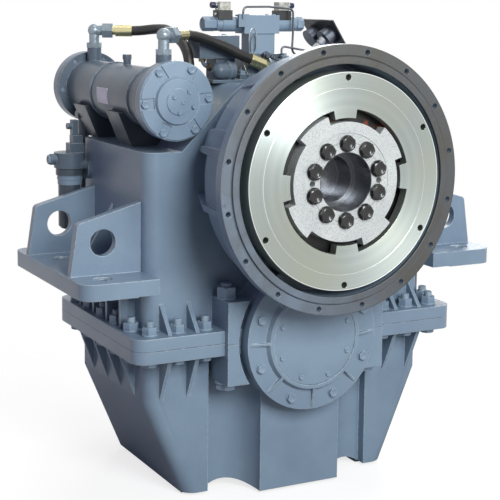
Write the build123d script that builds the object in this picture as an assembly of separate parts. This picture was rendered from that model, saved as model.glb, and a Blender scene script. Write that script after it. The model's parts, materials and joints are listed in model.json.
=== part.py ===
from build123d import *
import math
import os

# Marine reverse and reduction gearbox, sizes in millimetres.
# The origin is the centre of the flywheel housing face, on the input axis.
# The shafts run along Y, the engine side faces -Y, +Z is up and +X is the side
# that is on the right when the gearbox is seen from the engine.

# Shaft centres and gear sizes
centre_distance = 450.0
output_teeth = 69
pinion_teeth = 21
main_module = 10.0
transfer_teeth = 34
transfer_module = 7.0
pump_teeth = 14
pump_module = 4.0
pressure_angle = 20.0
tooth_backlash = 0.3
main_face_from = 470.0
main_face_to = 600.0
transfer_face = 60.0

# Fits
fit_gap = 0.05
running_gap = 0.06
bolt_gap = 0.4

# Flywheel housing
housing_pcd = 679.45
housing_edge = 15.875
housing_radius = housing_pcd / 2 + housing_edge
housing_flange = 30.0
housing_holes = 16
housing_hole_radius = 6.75
spigot_radius = housing_pcd / 2 - housing_edge
spigot_height = 5.0
spigot_wall = 18.85
spigot_opening = spigot_radius - spigot_wall
groove_width = 2.5
groove_depth = 1.5
drum_step = 13.6
drum_front_radius = housing_radius - drum_step
drum_taper = 15.0
drum_rear_radius = drum_front_radius - drum_taper
drum_depth = 150.0
crown_step = 1.6
crown_radius = housing_radius - crown_step
crown_half_angle = 43.5
cheek_angles = (12.0, 24.0)
neck_front_radius = 280.0
neck_rear_radius = 270.0
neck_wall = 14.0
neck_lip = 34.0
neck_bolt_inset = 17.0
neck_rib_front = drum_front_radius + 9.0
neck_rib_middle = drum_rear_radius + 12.0
neck_rib_rear = 293.0
neck_rib_step = 7.0
neck_rib_width = 16.0
neck_rib_angles = (14, -12)
neck_rear_flange = 18.0
neck_bolt_radius = 8.0
neck_bolt_angles = (-50, -25, 0, 30, 60)

# Elastic coupling
coupling_gap = 19.25
coupling_radius = spigot_opening - coupling_gap
coupling_front = -15.7
coupling_thickness = 30.0
coupling_edge = 14.3
coupling_pcd = 2 * (coupling_radius - coupling_edge)
coupling_holes = 6
coupling_hole_radius = 8.5
coupling_tooth_tip = 167.0
coupling_tooth_root = 190.5
coupling_tooth_width = 21.0
coupling_tooth_turn = 2.0
score_radius = coupling_radius - 41.75
score_width = 1.2
score_depth = 0.8
coupling_rim = 30.75
coupling_rim_inner = coupling_radius - coupling_rim
coupling_rim_depth = 34.0
hub_front = -15.0
hub_rear = 62.0
hub_radius = 157.0
hub_lug_radius = 179.5
hub_lug_width = 31.5
hub_lug_turn = 34.5
hub_register_radius = 128.0
hub_register_depth = 1.5
hub_bore_radius = 77.0
hub_bolts = 10
hub_bolt_circle = 100.5
hub_bolt_flats = 36.0
hub_bolt_head = 15.0
hub_bolt_radius = 12.0
hub_dowel_radius = 8.0
rubber_from = 24.0
rubber_waist = 8.0

# Casing walls
half_width = 440.0
casing_front = 270.0
casing_rear = 735.0
wall = 18.0
shoulder_top = 63.0
roof_top = 235.0
roof_half_width = 165.0
shoulder_half_width = 337.0
corner_radius = 40.0
split_height = -450.0
flange_half_width = 502.0
flange_front = 190.0
flange_rear = 790.0
flange_thickness = 34.0
front_disc_radius = 285.0
front_disc_depth = 26.0
roof_corner_radius = 60.0
knee_height = -617.0
sump_bottom = -887.0
sump_half_width = 325.0
recess_face = 300.0
side_block_inner = 254.0
nose_half_width = 125.0
nose_front = 205.0
arch_rise = 20.0
pad_height = 8.0
pad_width = 64.0
pad_length = 70.0
pad_spread = 284.0
pad_places = (casing_front + 40.0, casing_rear - 120.0)
rib_thickness = 11.0
rib_reach = 63.0
side_rib_reach = 42.0
upper_rib_top = -343.0
lower_rib_tip = -615.0
front_rib_places = (316.0, 396.0)
side_rib_places = (353.0, 452.0, 553.0, 657.0)

# Feet
foot_half_width = 645.0
foot_inner = 432.0
foot_top = -258.0
foot_bottom = -302.0
foot_front = 195.0
foot_rear = 763.0
foot_seat_inner = 492.0
foot_relief = 2.0
gusset_thickness = 25.0
gusset_places = (306.0, 645.0)
gusset_outer_top = -119.0
gusset_inner_top = -68.0
gusset_base = 638.0
gusset_tip = 617.0
lifting_hole_radius = 36.0
lifting_hole_x = 547.0
lifting_hole_z = -172.0
foot_bolt_x = 567.0
foot_bolt_places = (258.0, 389.0, 573.0, 704.0)
foot_bolt_radius = 13.0
spotface_radius = 25.0
spotface_depth = 3.0
middle_rib_place = 504.0
middle_rib_top = -86.0
middle_rib_base = 530.0

# Output bearing housings
collar_radius = 196.0
collar_front = 172.0
collar_rear = 800.0
ear_half_width = 245.0
ear_half_height = 115.0
ear_front = 170.0
ear_groove_radius = 212.0
ear_groove_floor = 200.0
ear_bolt_x = 222.0
ear_bolt_y = 228.0

# Fasteners of the split
case_bolt_radius = 12.0
case_bolt_flats = 38.0
case_nut_height = 24.0
case_head_height = 17.0
case_bolt_stand = 38.0
front_bolt_places = (444.0, 364.0, 284.0)
front_bolt_y = 235.0
rear_bolt_y = 764.0
side_bolt_x = 470.0
side_bolt_places = (302.0, 402.0, 503.0, 606.0, 706.0)
cap_bolt_radius = 16.0
cap_bolt_flats = 50.0
cap_nut_height = 34.0
cap_head_height = 22.0

# Shafts and bearings
input_bearing_bore = 50.0
input_bearing_outer = 90.0
input_bearing_from = 276.0
small_bearing_width = 34.0
rear_bearing_bore = 45.0
rear_bearing_outer = 80.0
rear_bearing_from = 693.0
reverse_bearing_from = 294.0
bearing_boss_wall = 24.0
output_bearing_bore = 80.0
output_bearing_outer = 165.0
output_bearing_width = 56.0
output_front_bearing_from = 200.0
output_rear_bearing_from = 696.0
roller_count = 10
shaft_flange_radius = 135.0
shaft_flange_thickness = 27.0
shaft_neck_radius = 85.0
shaft_neck_to = 150.0
shaft_hollow_radius = 62.0
shaft_hollow_to = 125.0
seal_journal_radius = 60.0
pinion_journal_radius = 45.0
output_shaft_radius = 90.0
output_seat_radius = 100.0
output_seal_radius = 85.0

# Clutches
drum_from = 335.0
drum_to = 455.0
drum_radius = 109.0
drum_bore = 96.0
drum_web = 15.0
drum_sleeve_radius = 57.5
drum_sleeve_to = 368.0
transfer_from = 345.0
backing_plate = 12.0
pinion_hub_radius = 66.0
pinion_hub_from = 376.0
pinion_bush_wall = 6.0
piston_from = 354.0
piston_thickness = 14.0
plate_pairs = 5
plate_from = 375.0
plate_pitch = 13.0
friction_thickness = 6.0
steel_thickness = 5.5
plate_gap = 0.75

# Output gear, flange and covers
gear_rim_inner = 300.0
gear_web_half = 16.0
gear_hub_radius = 150.0
gear_window_radius = 46.0
gear_windows = 6
output_flange_radius = 215.0
output_flange_pcd = 370.0
output_flange_holes = 12
output_flange_hole_radius = 13.5
output_flange_from = 990.0
output_flange_to = 1035.0
output_flange_slope = 20.0
output_spigot_radius = 95.0
output_spigot_height = 8.0
output_hub_radius = 122.0
output_hub_from = 842.0
front_cover_radius = 200.0
front_cover_face = 142.0
front_cover_boss = 127.0
front_cover_boss_radius = 146.0
cover_rib_thickness = 7.0
cover_plate_radius = 128.0
cover_plate_gap = 0.8
cover_bolts = 8
cover_bolt_circle = 173.0
cover_bolt_flats = 24.0
cover_bolt_head = 10.0
cover_bolt_radius = 8.0
rear_cover_thickness = 34.0
rear_cover_flange = 16.0
plate_bolt_circle = 110.0
plate_bolt_flats = 13.0
plate_bolt_radius = 4.0
plate_bolt_head = 5.0
plate_bolt_grip = 22.0
plate_face = 128.6
plate_seat = 139.0
plate_seat_depth = 16.0
plate_seat_width = 26.0
seal_width = 14.0
seal_wall = 16.0
seal_play = 6.0
seal_stop = 4.0
seal_gap = 0.3
bearing_lip = 12.0
cover_step = 8.0
input_cover_radius = 128.0
input_cover_thickness = 22.0

# Oil pump
pump_from = 760.0
pump_floor = 18.0
pump_gear_width = 34.0
pump_wall = 16.0
pump_cover_thickness = 15.0
pump_shaft_radius = 14.0
pump_tip_gap = 0.3
pump_flange_radius = 115.0

# Oil cooler
cooler_x = -366.0
cooler_z = 200.0
cooler_front = 240.0
cooler_rear = 905.0
cooler_cap_radius = 105.0
cooler_cap_thickness = 30.0
cooler_boss_radius = 65.0
cooler_boss_height = 12.0
cooler_plate_radius = 34.0
cooler_plate_height = 3.0
cooler_land_height = 4.0
cooler_land_gap = 30.0
cooler_cavity_step = 6.0
water_port_spread = 38.0
cooler_shell_radius = 80.0
cooler_shell_wall = 8.0
vent_place = 580.0
vent_radius = 11.0
vent_height = 14.0
vent_flats = 24.0
cooler_flange_thickness = 16.0
cooler_band_places = (388.0, 664.0)
cooler_band_width = 12.0
cooler_band_height = 4.0
cooler_port_front = 326.0
cooler_port_rear = 838.0
cooler_port_radius = 21.0
cooler_port_top = 318.0
cooler_bolt_circle = 91.0
cooler_bolt_turn = 4.0
cooler_bolts = 6
cooler_bolt_flats = 19.0
cooler_bolt_radius = 6.0
saddle_places = (436.0, 692.0)
saddle_length = 92.0
saddle_top = 157.0
saddle_top_half = 86.0
saddle_foot_half = 46.0
saddle_sheet = 6.0
water_port_radius = 24.0
water_port_length = 34.0
water_port_wall = 8.0
elbow_height = 369.0
elbow_tube_radius = 15.0
elbow_body_radius = 19.0
elbow_reach = 67.0
rear_elbow_turn = 62.0
front_elbow_turn = 126.0
fitting_flats = 42.0
fitting_width = 30.0
adaptor_length = 62.0
ferrule_radius = 17.5
ferrule_length = 46.0
ferrule_rim = 3.0
stem_length = 12.0
stem_radius = 13.0
hose_radius = 14.5

# Control valve
valve_y = 500.0
valve_axis_z = 396.0
valve_left = -51.0
valve_right = 62.0
valve_bottom = 369.0
valve_top = 422.0
valve_half_depth = 30.0
valve_lower_left = -33.0
valve_lower_right = 50.0
valve_lower_bottom = 312.0
valve_cylinder_radius = 22.0
valve_left_end = -113.0
valve_right_end = 118.0
valve_cap_flats = 36.0
valve_left_cap_end = -171.0
valve_right_cap_end = 153.0
spool_radius = 12.0
spool_neck_radius = 8.0
spool_half_length = 92.0
coil_width = 44.0
coil_height = 17.0
coil_left = -106.0
coil_right = 85.0
connector_width = 34.0
connector_height = 24.0
gland_radius = 7.0
gland_length = 20.0
base_left = -80.0
base_right = 92.0
base_plate = 20.0
base_plate_half = 62.0
base_half = 44.0
base_margin = 14.0
port_left = 28.0
port_right = 74.0
port_front = 404.0
port_top = 298.0
valve_lower_half_depth = 24.0
spool_land = 26.0
spool_land_places = (-92.0, -46.0, 20.0, 66.0)
cap_ring_length = 18.0
coil_depth = 38.0
coil_overlap = 14.0
connector_depth = 32.0

# Pressure control block
relief_left = -200.0
relief_right = -76.0
relief_front = 452.0
relief_rear = 532.0
relief_step = 300.0
relief_top = 364.0
relief_column_left = -142.0
relief_foot = 8.0
relief_foot_left = -188.0
relief_foot_front = 390.0
relief_foot_right = -81.0
relief_column_front = 464.0
relief_column_right = -84.0
relief_pipe_radius = 9.0
relief_pipe_x = -130.0
nose_radius = 24.0
nose_left = -150.0
nose_right = -108.0
nose_y = 426.0
nose_collar = 4.0
nose_collar_from = -132.0
nose_collar_to = -124.0

# Gauge panel
panel_corner = (177.0, 546.0, 409.0)
panel_turn = -90.0
panel_slope = 57.0
panel_width = 180.0
panel_length = 104.0
panel_thickness = 4.0
gauge_radius = 28.0
gauge_depth = 30.0
gauge_front = 6.0
gauge_rim = 3.0
gauge_places = ((48.0, 48.0), (132.0, 48.0))
dial_level = 0.0
needle_length = 18.0
needle_pin = 1.5
post_radius = 8.0
pipe_radius = 3.0
gauge_back_distance = 12.0

# Filter and dipstick
filter_x = -488.0
filter_y = 722.0
filter_head_radius = 45.0
filter_head_top = 21.0
filter_head_bottom = -23.0
filter_collar_radius = 40.0
filter_collar_bottom = -44.0
filter_bowl_radius = 33.0
filter_bowl_bottom = -201.0
filter_bowl_chamfer = 8.0
filter_pipe_radius = 14.0
filter_boss_radius = 27.0
filter_boss_length = 10.0
filter_pipe_offset = 26.0
filter_pipe_height = -14.0
filter_plug_radius = 16.0
filter_plug_length = 14.0
filter_plug_height = 2.0
indicator_offset = 4.0
indicator_steps = ((-6.0, 38.0, 18.0, 48.0), (4.0, 34.0, 14.0, 70.0), (4.0, 22.0, 10.0, 115.0))
indicator_plug_radius = 9.0
dipstick_x = 392.0
dipstick_y = 640.0
dipstick_radius = 4.0
dipstick_tube_radius = 9.0
dipstick_tube_top = 120.0
dipstick_bottom = -640.0
dipstick_nut_flats = 30.0
dipstick_nut_height = 14.0
dipstick_cap_height = 10.0
dipstick_ring_radius = 15.0
dipstick_ring_wire = 3.0
dipstick_play = 1.0

# Values that follow from the ones above
output_z = -centre_distance
transfer_distance = transfer_teeth * transfer_module
reverse_angle = 2 * math.asin(transfer_distance / 2 / centre_distance)
reverse_x = centre_distance * math.sin(reverse_angle)
reverse_z = output_z + centre_distance * math.cos(reverse_angle)
pump_idler_z = reverse_z - pump_teeth * pump_module
flange_top = split_height + flange_thickness
flange_bottom = split_height - flange_thickness
inner_front = casing_front + wall
inner_rear = casing_rear - wall
hub_flange_rear = hub_rear + shaft_flange_thickness


# Basic shapes

def block(x_from, x_to, y_from, y_to, z_from, z_to):
    """A box between two corners."""
    middle = ((x_from + x_to) / 2, (y_from + y_to) / 2, (z_from + z_to) / 2)
    return Pos(*middle) * Box(abs(x_to - x_from), abs(y_to - y_from), abs(z_to - z_from))


def rod_y(radius, y_from, y_to, x=0.0, z=0.0):
    """A round bar along Y."""
    return Pos(x, (y_from + y_to) / 2, z) * Rot(90, 0, 0) * Cylinder(radius, abs(y_to - y_from))


def rod_x(radius, x_from, x_to, y, z):
    """A round bar along X."""
    return Pos((x_from + x_to) / 2, y, z) * Rot(0, 90, 0) * Cylinder(radius, abs(x_to - x_from))


def rod_z(radius, z_from, z_to, x, y):
    """A round bar along Z."""
    return Pos(x, y, (z_from + z_to) / 2) * Cylinder(radius, abs(z_to - z_from))


def ring_y(outer, inner, y_from, y_to, x=0.0, z=0.0):
    """A plain ring round an axis along Y."""
    return rod_y(outer, y_from, y_to, x, z) - rod_y(inner, y_from - 1, y_to + 1, x, z)


def plate_y(outline, y_from, y_to):
    """A sketch drawn in X and Z, given its thickness along Y."""
    face_plane = Plane(origin=(0, y_from, 0), x_dir=(1, 0, 0), z_dir=(0, -1, 0))
    return extrude(face_plane * outline, amount=-(y_to - y_from))


def plate_z(outline, z_from, z_to):
    """A sketch drawn in X and Y, given its height along Z."""
    return extrude(Pos(0, 0, z_from) * outline, amount=z_to - z_from)


def plate_x(outline, x_from, x_to):
    """A sketch drawn in Y and Z, given its thickness along X."""
    face_plane = Plane(origin=(x_from, 0, 0), x_dir=(0, 1, 0), z_dir=(1, 0, 0))
    return extrude(face_plane * outline, amount=x_to - x_from)


def polygon(points):
    """A closed straight-sided sketch."""
    return make_face(Polyline(*points, close=True))


def turned_y(profile, x=0.0, z=0.0):
    """A turned piece: the profile's points are (radius, y)."""
    return Pos(x, 0, z) * revolve(polygon(profile), axis=Axis.Y)


def around_y(piece, count, start=0.0, x=0.0, z=0.0):
    """Copies of a piece, evenly spaced round an axis along Y."""
    return [
        Pos(x, 0, z) * Rot(0, -(start + 360.0 * number / count), 0) * piece
        for number in range(count)
    ]


def hexagon_y(flats, y_from, y_to, x=0.0, z=0.0):
    """A hexagonal bar along Y."""
    outline = Pos(x, z) * RegularPolygon(flats / 2, 6, major_radius=False)
    return plate_y(outline, y_from, y_to)


def hexagon_x(flats, x_from, x_to, y, z):
    """A hexagonal bar along X."""
    outline = Pos(y, z) * RegularPolygon(flats / 2, 6, major_radius=False)
    return plate_x(outline, x_from, x_to)


def hexagon_z(flats, z_from, z_to, x, y):
    """A hexagonal bar along Z."""
    outline = Pos(x, y) * RegularPolygon(flats / 2, 6, major_radius=False)
    return plate_z(outline, z_from, z_to)


def group(pieces):
    """Separate solids that share one node."""
    return Compound(children=list(pieces))


def both_sides(piece):
    """A piece and its mirror image across the middle plane."""
    return [piece, mirror(piece, about=Plane.YZ)]


# Gears

def involute(angle):
    return math.tan(angle) - angle


def gear_outline(teeth, module, turn=0.0):
    """A spur gear's outline. The flanks are chords of the involute."""
    pitch = teeth * module / 2
    base = pitch * math.cos(math.radians(pressure_angle))
    root = pitch - 1.25 * module
    tip = pitch + module
    half_tooth = math.pi / 2 / teeth - tooth_backlash / 2 / pitch
    at_pitch = involute(math.radians(pressure_angle))
    radii = [max(root, base), pitch, tip]
    flank = [(radius, half_tooth + at_pitch - involute(math.acos(base / radius))) for radius in radii]
    if root < base:
        flank.insert(0, (root, flank[0][1]))
    points = []
    for number in range(teeth):
        middle = math.radians(turn) + 2 * math.pi * number / teeth
        for radius, half in flank:
            points.append((radius * math.cos(middle - half), radius * math.sin(middle - half)))
        for radius, half in reversed(flank):
            points.append((radius * math.cos(middle + half), radius * math.sin(middle + half)))
    return polygon(points)


def mesh_turn(direction, driver_turn, driver_teeth, teeth):
    """The turn, in degrees, that puts a gear in mesh with one it touches in that direction."""
    driver_phase = (direction - driver_turn) * driver_teeth / 360
    return direction + 180 - (0.5 - driver_phase) * 360 / teeth


reverse_direction = 90 - math.degrees(reverse_angle)
transfer_direction = math.degrees(math.atan2(reverse_z, reverse_x))
output_turn = 90.0
ahead_turn = mesh_turn(90.0, output_turn, output_teeth, pinion_teeth)
astern_turn = mesh_turn(reverse_direction, output_turn, output_teeth, pinion_teeth)
transfer_turn = mesh_turn(transfer_direction, 0.0, transfer_teeth, transfer_teeth)
pump_idler_turn = mesh_turn(-90.0, 0.0, pump_teeth, pump_teeth)


# Casings

def casing_section(inset=0.0):
    """The upper casing's outline from the front: wide shoulders and a raised roof."""
    slope = math.sqrt(2) - 1
    foot_z = split_height - 1 if inset else split_height
    side = half_width - inset
    shoulder = shoulder_top - inset
    roof = roof_top - inset
    half = [
        (side, foot_z),
        (side, shoulder),
        (shoulder_half_width - inset * slope, shoulder),
        (roof_half_width - inset * slope, roof),
    ]
    outline = polygon(half + [(-x, z) for x, z in reversed(half)])
    return fillet(outline.vertices().group_by(Axis.Y)[-1], roof_corner_radius)


def sump_section(inset=0.0):
    """The lower casing's outline from the front: upright sides that turn in to a narrow bottom."""
    top = split_height + 1 if inset else split_height
    half = [
        (half_width - inset, top),
        (half_width - inset, knee_height),
        (sump_half_width - inset, sump_bottom + inset),
    ]
    return polygon(half + [(-x, z) for x, z in reversed(half)])


def flange_plan():
    """The bolting flange that both casings share, seen from above."""
    depth = flange_rear - flange_front
    middle = (flange_rear + flange_front) / 2
    return Pos(0, middle) * RectangleRounded(2 * flange_half_width, depth, corner_radius)


def wall_plan():
    """The casing's walls, seen from above."""
    depth = casing_rear - casing_front
    plan = Pos(0, (casing_front + casing_rear) / 2) * Rectangle(2 * half_width, depth)
    plan = fillet(plan.vertices().group_by(Axis.Y)[0], corner_radius)
    return fillet(plan.vertices().group_by(Axis.Y)[-1], corner_radius / 2)


def bolt_places():
    """Where the bolts of the split flange stand, seen from above."""
    front_and_rear = [(x, y) for y in (front_bolt_y, rear_bolt_y) for x in front_bolt_places]
    right = front_and_rear + [(side_bolt_x, y) for y in side_bolt_places]
    return right + [(-x, y) for x, y in right]


def ear_places():
    """Where the large bolts beside the output bearings stand."""
    return [(side * ear_bolt_x, ear_bolt_y) for side in (-1, 1)]


def bearing_ears():
    """The front output bearing's housing: a round collar between two clamping ears."""
    ears = block(-ear_half_width, ear_half_width, ear_front, casing_front,
                 output_z - ear_half_height, output_z + ear_half_height)
    groove = ring_y(ear_groove_radius, collar_radius, ear_front - 1, ear_groove_floor, 0, output_z)
    nose = rod_y(collar_radius, ear_front - 1, collar_front, 0, output_z)
    collar = rod_y(collar_radius, collar_front, casing_front + wall, 0, output_z)
    return ears - groove - nose + collar


def rear_collar():
    """The rear output bearing's round housing."""
    return rod_y(collar_radius, casing_rear - wall, collar_rear, 0, output_z)


def output_bores():
    """What is bored out of both casings in line with the output shaft."""
    front_seat = rod_y(output_bearing_outer + fit_gap, output_front_bearing_from,
                       output_front_bearing_from + output_bearing_width, 0, output_z)
    rear_seat = rod_y(output_bearing_outer + fit_gap, output_rear_bearing_from,
                      output_rear_bearing_from + output_bearing_width, 0, output_z)
    lip = output_bearing_outer - bearing_lip
    through = rod_y(lip, collar_front - 1, collar_rear + 1, 0, output_z)
    return front_seat + rear_seat + through


def cover_bolt_holes(y_from, y_to):
    """Holes for the bolts that hold a cover on an output bearing housing."""
    hole = rod_y(cover_bolt_radius + bolt_gap, y_from, y_to, cover_bolt_circle, 0)
    return around_y(hole, cover_bolts, 180 / cover_bolts, 0, output_z)


def front_ribs(low, high):
    """Triangular ribs between the flange and the front wall, on the right."""
    shape = polygon([(casing_front + 1, low), (casing_front - rib_reach, low), (casing_front + 1, high)])
    return [plate_x(shape, x - rib_thickness / 2, x + rib_thickness / 2) for x in front_rib_places]


def side_ribs(shape):
    """Upright ribs of one shape along the right-hand wall."""
    return [plate_y(shape, y - rib_thickness / 2, y + rib_thickness / 2) for y in side_rib_places]


def foot():
    """One mounting foot, on the right: a plate with two upright gussets and a small rib."""
    plan_width = foot_half_width - foot_inner
    depth = foot_rear - foot_front
    middle = Pos((foot_half_width + foot_inner) / 2, (foot_rear + foot_front) / 2)
    plan = middle * Rectangle(plan_width, depth)
    plan = fillet(plan.vertices().group_by(Axis.X)[-1], corner_radius)
    foot_piece = plate_z(plan, foot_bottom, foot_top)
    foot_piece -= block(foot_inner - 1, foot_seat_inner, foot_front - 1, foot_rear + 1,
                        foot_bottom - 1, foot_bottom + foot_relief)
    shape = polygon([
        (foot_inner, foot_top - 1),
        (gusset_base, foot_top - 1),
        (gusset_tip, gusset_outer_top),
        (foot_inner, gusset_inner_top),
    ])
    shape = fillet(shape.vertices().sort_by(Axis.X)[-2], 14)
    shape -= Pos(lifting_hole_x, lifting_hole_z) * Circle(lifting_hole_radius)
    for place in gusset_places:
        foot_piece += plate_y(shape, place, place + gusset_thickness)
    rib = polygon([(foot_inner, foot_top - 1), (middle_rib_base, foot_top - 1), (foot_inner, middle_rib_top)])
    foot_piece += plate_y(rib, middle_rib_place, middle_rib_place + rib_thickness)
    for place in foot_bolt_places:
        foot_piece -= rod_z(foot_bolt_radius, foot_bottom - 1, foot_top + 1, foot_bolt_x, place)
        foot_piece -= rod_z(spotface_radius, foot_top - spotface_depth, foot_top + 1, foot_bolt_x, place)
    return foot_piece - plate_z(wall_plan(), foot_bottom - 1, shoulder_top)


def mounting_feet():
    return group(both_sides(foot()))


def shaft_bosses():
    """Bearing bosses inside the upper casing's end walls."""
    bosses = rod_y(input_bearing_outer + bearing_boss_wall, casing_front,
                   input_bearing_from + small_bearing_width)
    bosses += rod_y(rear_bearing_outer + bearing_boss_wall, rear_bearing_from - 4, casing_rear)
    bosses += rod_y(rear_bearing_outer + bearing_boss_wall, casing_front + 1,
                    reverse_bearing_from + small_bearing_width, reverse_x, reverse_z)
    bosses += rod_y(rear_bearing_outer + bearing_boss_wall, rear_bearing_from - 4, casing_rear,
                    reverse_x, reverse_z)
    return bosses


def shaft_bores():
    """Bearing seats bored into those bosses."""
    bores = rod_y(input_bearing_outer + fit_gap, casing_front - 1,
                  input_bearing_from + small_bearing_width + 1)
    bores += rod_y(rear_bearing_outer + fit_gap, rear_bearing_from - 5, casing_rear + 1)
    bores += rod_y(rear_bearing_outer + fit_gap, reverse_bearing_from,
                   reverse_bearing_from + small_bearing_width + 1, reverse_x, reverse_z)
    bores += rod_y(rear_bearing_outer + fit_gap, rear_bearing_from - 5, casing_rear + 1, reverse_x, reverse_z)
    return bores


def upper_casing():
    """The upper half: shoulders, raised roof, flange and the upper bearing caps."""
    shell = plate_y(casing_section(), casing_front, casing_rear)
    uprights = shell.edges().filter_by(Axis.Z).group_by(Axis.Y)
    shell = fillet(uprights[0], corner_radius)
    shell = fillet(shell.edges().filter_by(Axis.Z).group_by(Axis.Y)[-1], corner_radius / 2)
    disc = rod_y(front_disc_radius, casing_front, casing_front + front_disc_depth)
    shell += disc
    shell += plate_z(flange_plan(), split_height, flange_top)
    upright = polygon([
        (half_width - 1, flange_top - 1), (half_width + side_rib_reach, flange_top - 1),
        (half_width + side_rib_reach, foot_bottom + foot_relief), (half_width - 1, foot_bottom + foot_relief),
    ])
    for rib in front_ribs(flange_top, upper_rib_top) + side_ribs(upright):
        for piece in both_sides(rib):
            shell += piece
    shell += bearing_ears() + rear_collar()
    cavity = plate_y(casing_section(wall), inner_front, inner_rear)
    shell = shell - cavity + shaft_bosses() - shaft_bores() - output_bores()
    shell -= block(-700, 700, 0, 1200, split_height - 500, split_height)
    for x, y in bolt_places():
        shell -= rod_z(case_bolt_radius + bolt_gap, split_height - 1, flange_top + 1, x, y)
    for x, y in ear_places():
        shell -= rod_z(cap_bolt_radius + bolt_gap, split_height - 1, output_z + ear_half_height + 1, x, y)
    for hole in cover_bolt_holes(collar_front - 1, collar_front + 24):
        shell -= hole
    for hole in cover_bolt_holes(collar_rear - 24, collar_rear + 1):
        shell -= hole
    for hole in neck_bolt_holes(casing_front - 1, casing_front + front_disc_depth + 1):
        shell -= hole
    shell -= rod_z(dipstick_radius + 2 * dipstick_play, shoulder_top - wall - 1, shoulder_top + 1,
                   dipstick_x, dipstick_y)
    return shell


def sump_nose():
    """The part of the sump that stands forward under the output bearing, with hollow flanks."""
    fillet_radius = recess_face - nose_front
    outer = nose_half_width + fillet_radius
    plan = Pos(0, (nose_front + recess_face) / 2 + 5) * Rectangle(2 * outer, fillet_radius + 10)
    for side in (-1, 1):
        plan -= Pos(side * outer, nose_front) * Circle(fillet_radius)
    return plate_z(plan, sump_bottom, flange_bottom)


def lower_casing():
    """The lower half: the oil sump with its flange and the lower bearing caps."""
    shell = plate_y(sump_section(), casing_front, casing_rear)
    front_edges = shell.edges().group_by(Axis.Y)[0].filter_by(Axis.X, reverse=True)
    shell = fillet(front_edges, corner_radius)
    shell -= block(-side_block_inner, side_block_inner, casing_front - 1, recess_face,
                   sump_bottom - 1, split_height + 1)
    shell += sump_nose()
    shell += plate_z(flange_plan(), flange_bottom, split_height)
    hanging = polygon([
        (half_width - 1, flange_bottom + 1), (half_width + side_rib_reach + 5, flange_bottom + 1),
        (half_width - 1, lower_rib_tip),
    ])
    for rib in front_ribs(flange_bottom, lower_rib_tip) + side_ribs(hanging):
        for piece in both_sides(rib):
            shell += piece
    shell += bearing_ears() + rear_collar()
    floor_height = sump_bottom + arch_rise + wall
    cavity = plate_y(sump_section(wall), recess_face + wall, inner_rear)
    cavity += block(-nose_half_width + wall, nose_half_width - wall, nose_front + wall,
                    recess_face + wall + 1, sump_bottom + wall, output_z - collar_radius - wall)
    cavity -= block(-half_width, half_width, nose_front, casing_rear, sump_bottom, floor_height)
    shell = shell - cavity - output_bores()
    shell -= block(-700, 700, 0, 1200, split_height, split_height + 500)
    arch_half = (side_block_inner - nose_half_width) / 2
    arch_radius = (arch_half ** 2 + arch_rise ** 2) / 2 / arch_rise
    arch = rod_y(arch_radius, 0, casing_rear + 1, nose_half_width + arch_half,
                 sump_bottom + arch_rise - arch_radius)
    for piece in both_sides(arch):
        shell -= piece
    pad = block(-pad_width / 2, pad_width / 2, 0, pad_length, sump_bottom - pad_height, sump_bottom + 1)
    for x in (-pad_spread, 0, pad_spread):
        for y in pad_places:
            shell += Pos(x, y, 0) * pad
    for x, y in bolt_places():
        shell -= rod_z(case_bolt_radius + bolt_gap, flange_bottom - 1, split_height + 1, x, y)
    for x, y in ear_places():
        shell -= rod_z(cap_bolt_radius + bolt_gap, output_z - ear_half_height - 1, split_height + 1, x, y)
    for hole in cover_bolt_holes(collar_front - 1, collar_front + 24):
        shell -= hole
    for hole in cover_bolt_holes(collar_rear - 24, collar_rear + 1):
        shell -= hole
    return shell


def around_neck(piece):
    """Copies of a piece on the bolt circle between the flywheel housing and the casing."""
    circle = neck_rear_radius - neck_wall - neck_bolt_inset
    moved = Pos(circle, 0, 0) * piece
    angles = list(neck_bolt_angles) + [180 - angle for angle in neck_bolt_angles] + [90]
    return [Rot(0, -angle, 0) * moved for angle in angles]


def neck_bolt_holes(y_from, y_to):
    return around_neck(rod_y(neck_bolt_radius + bolt_gap, y_from, y_to))


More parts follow.
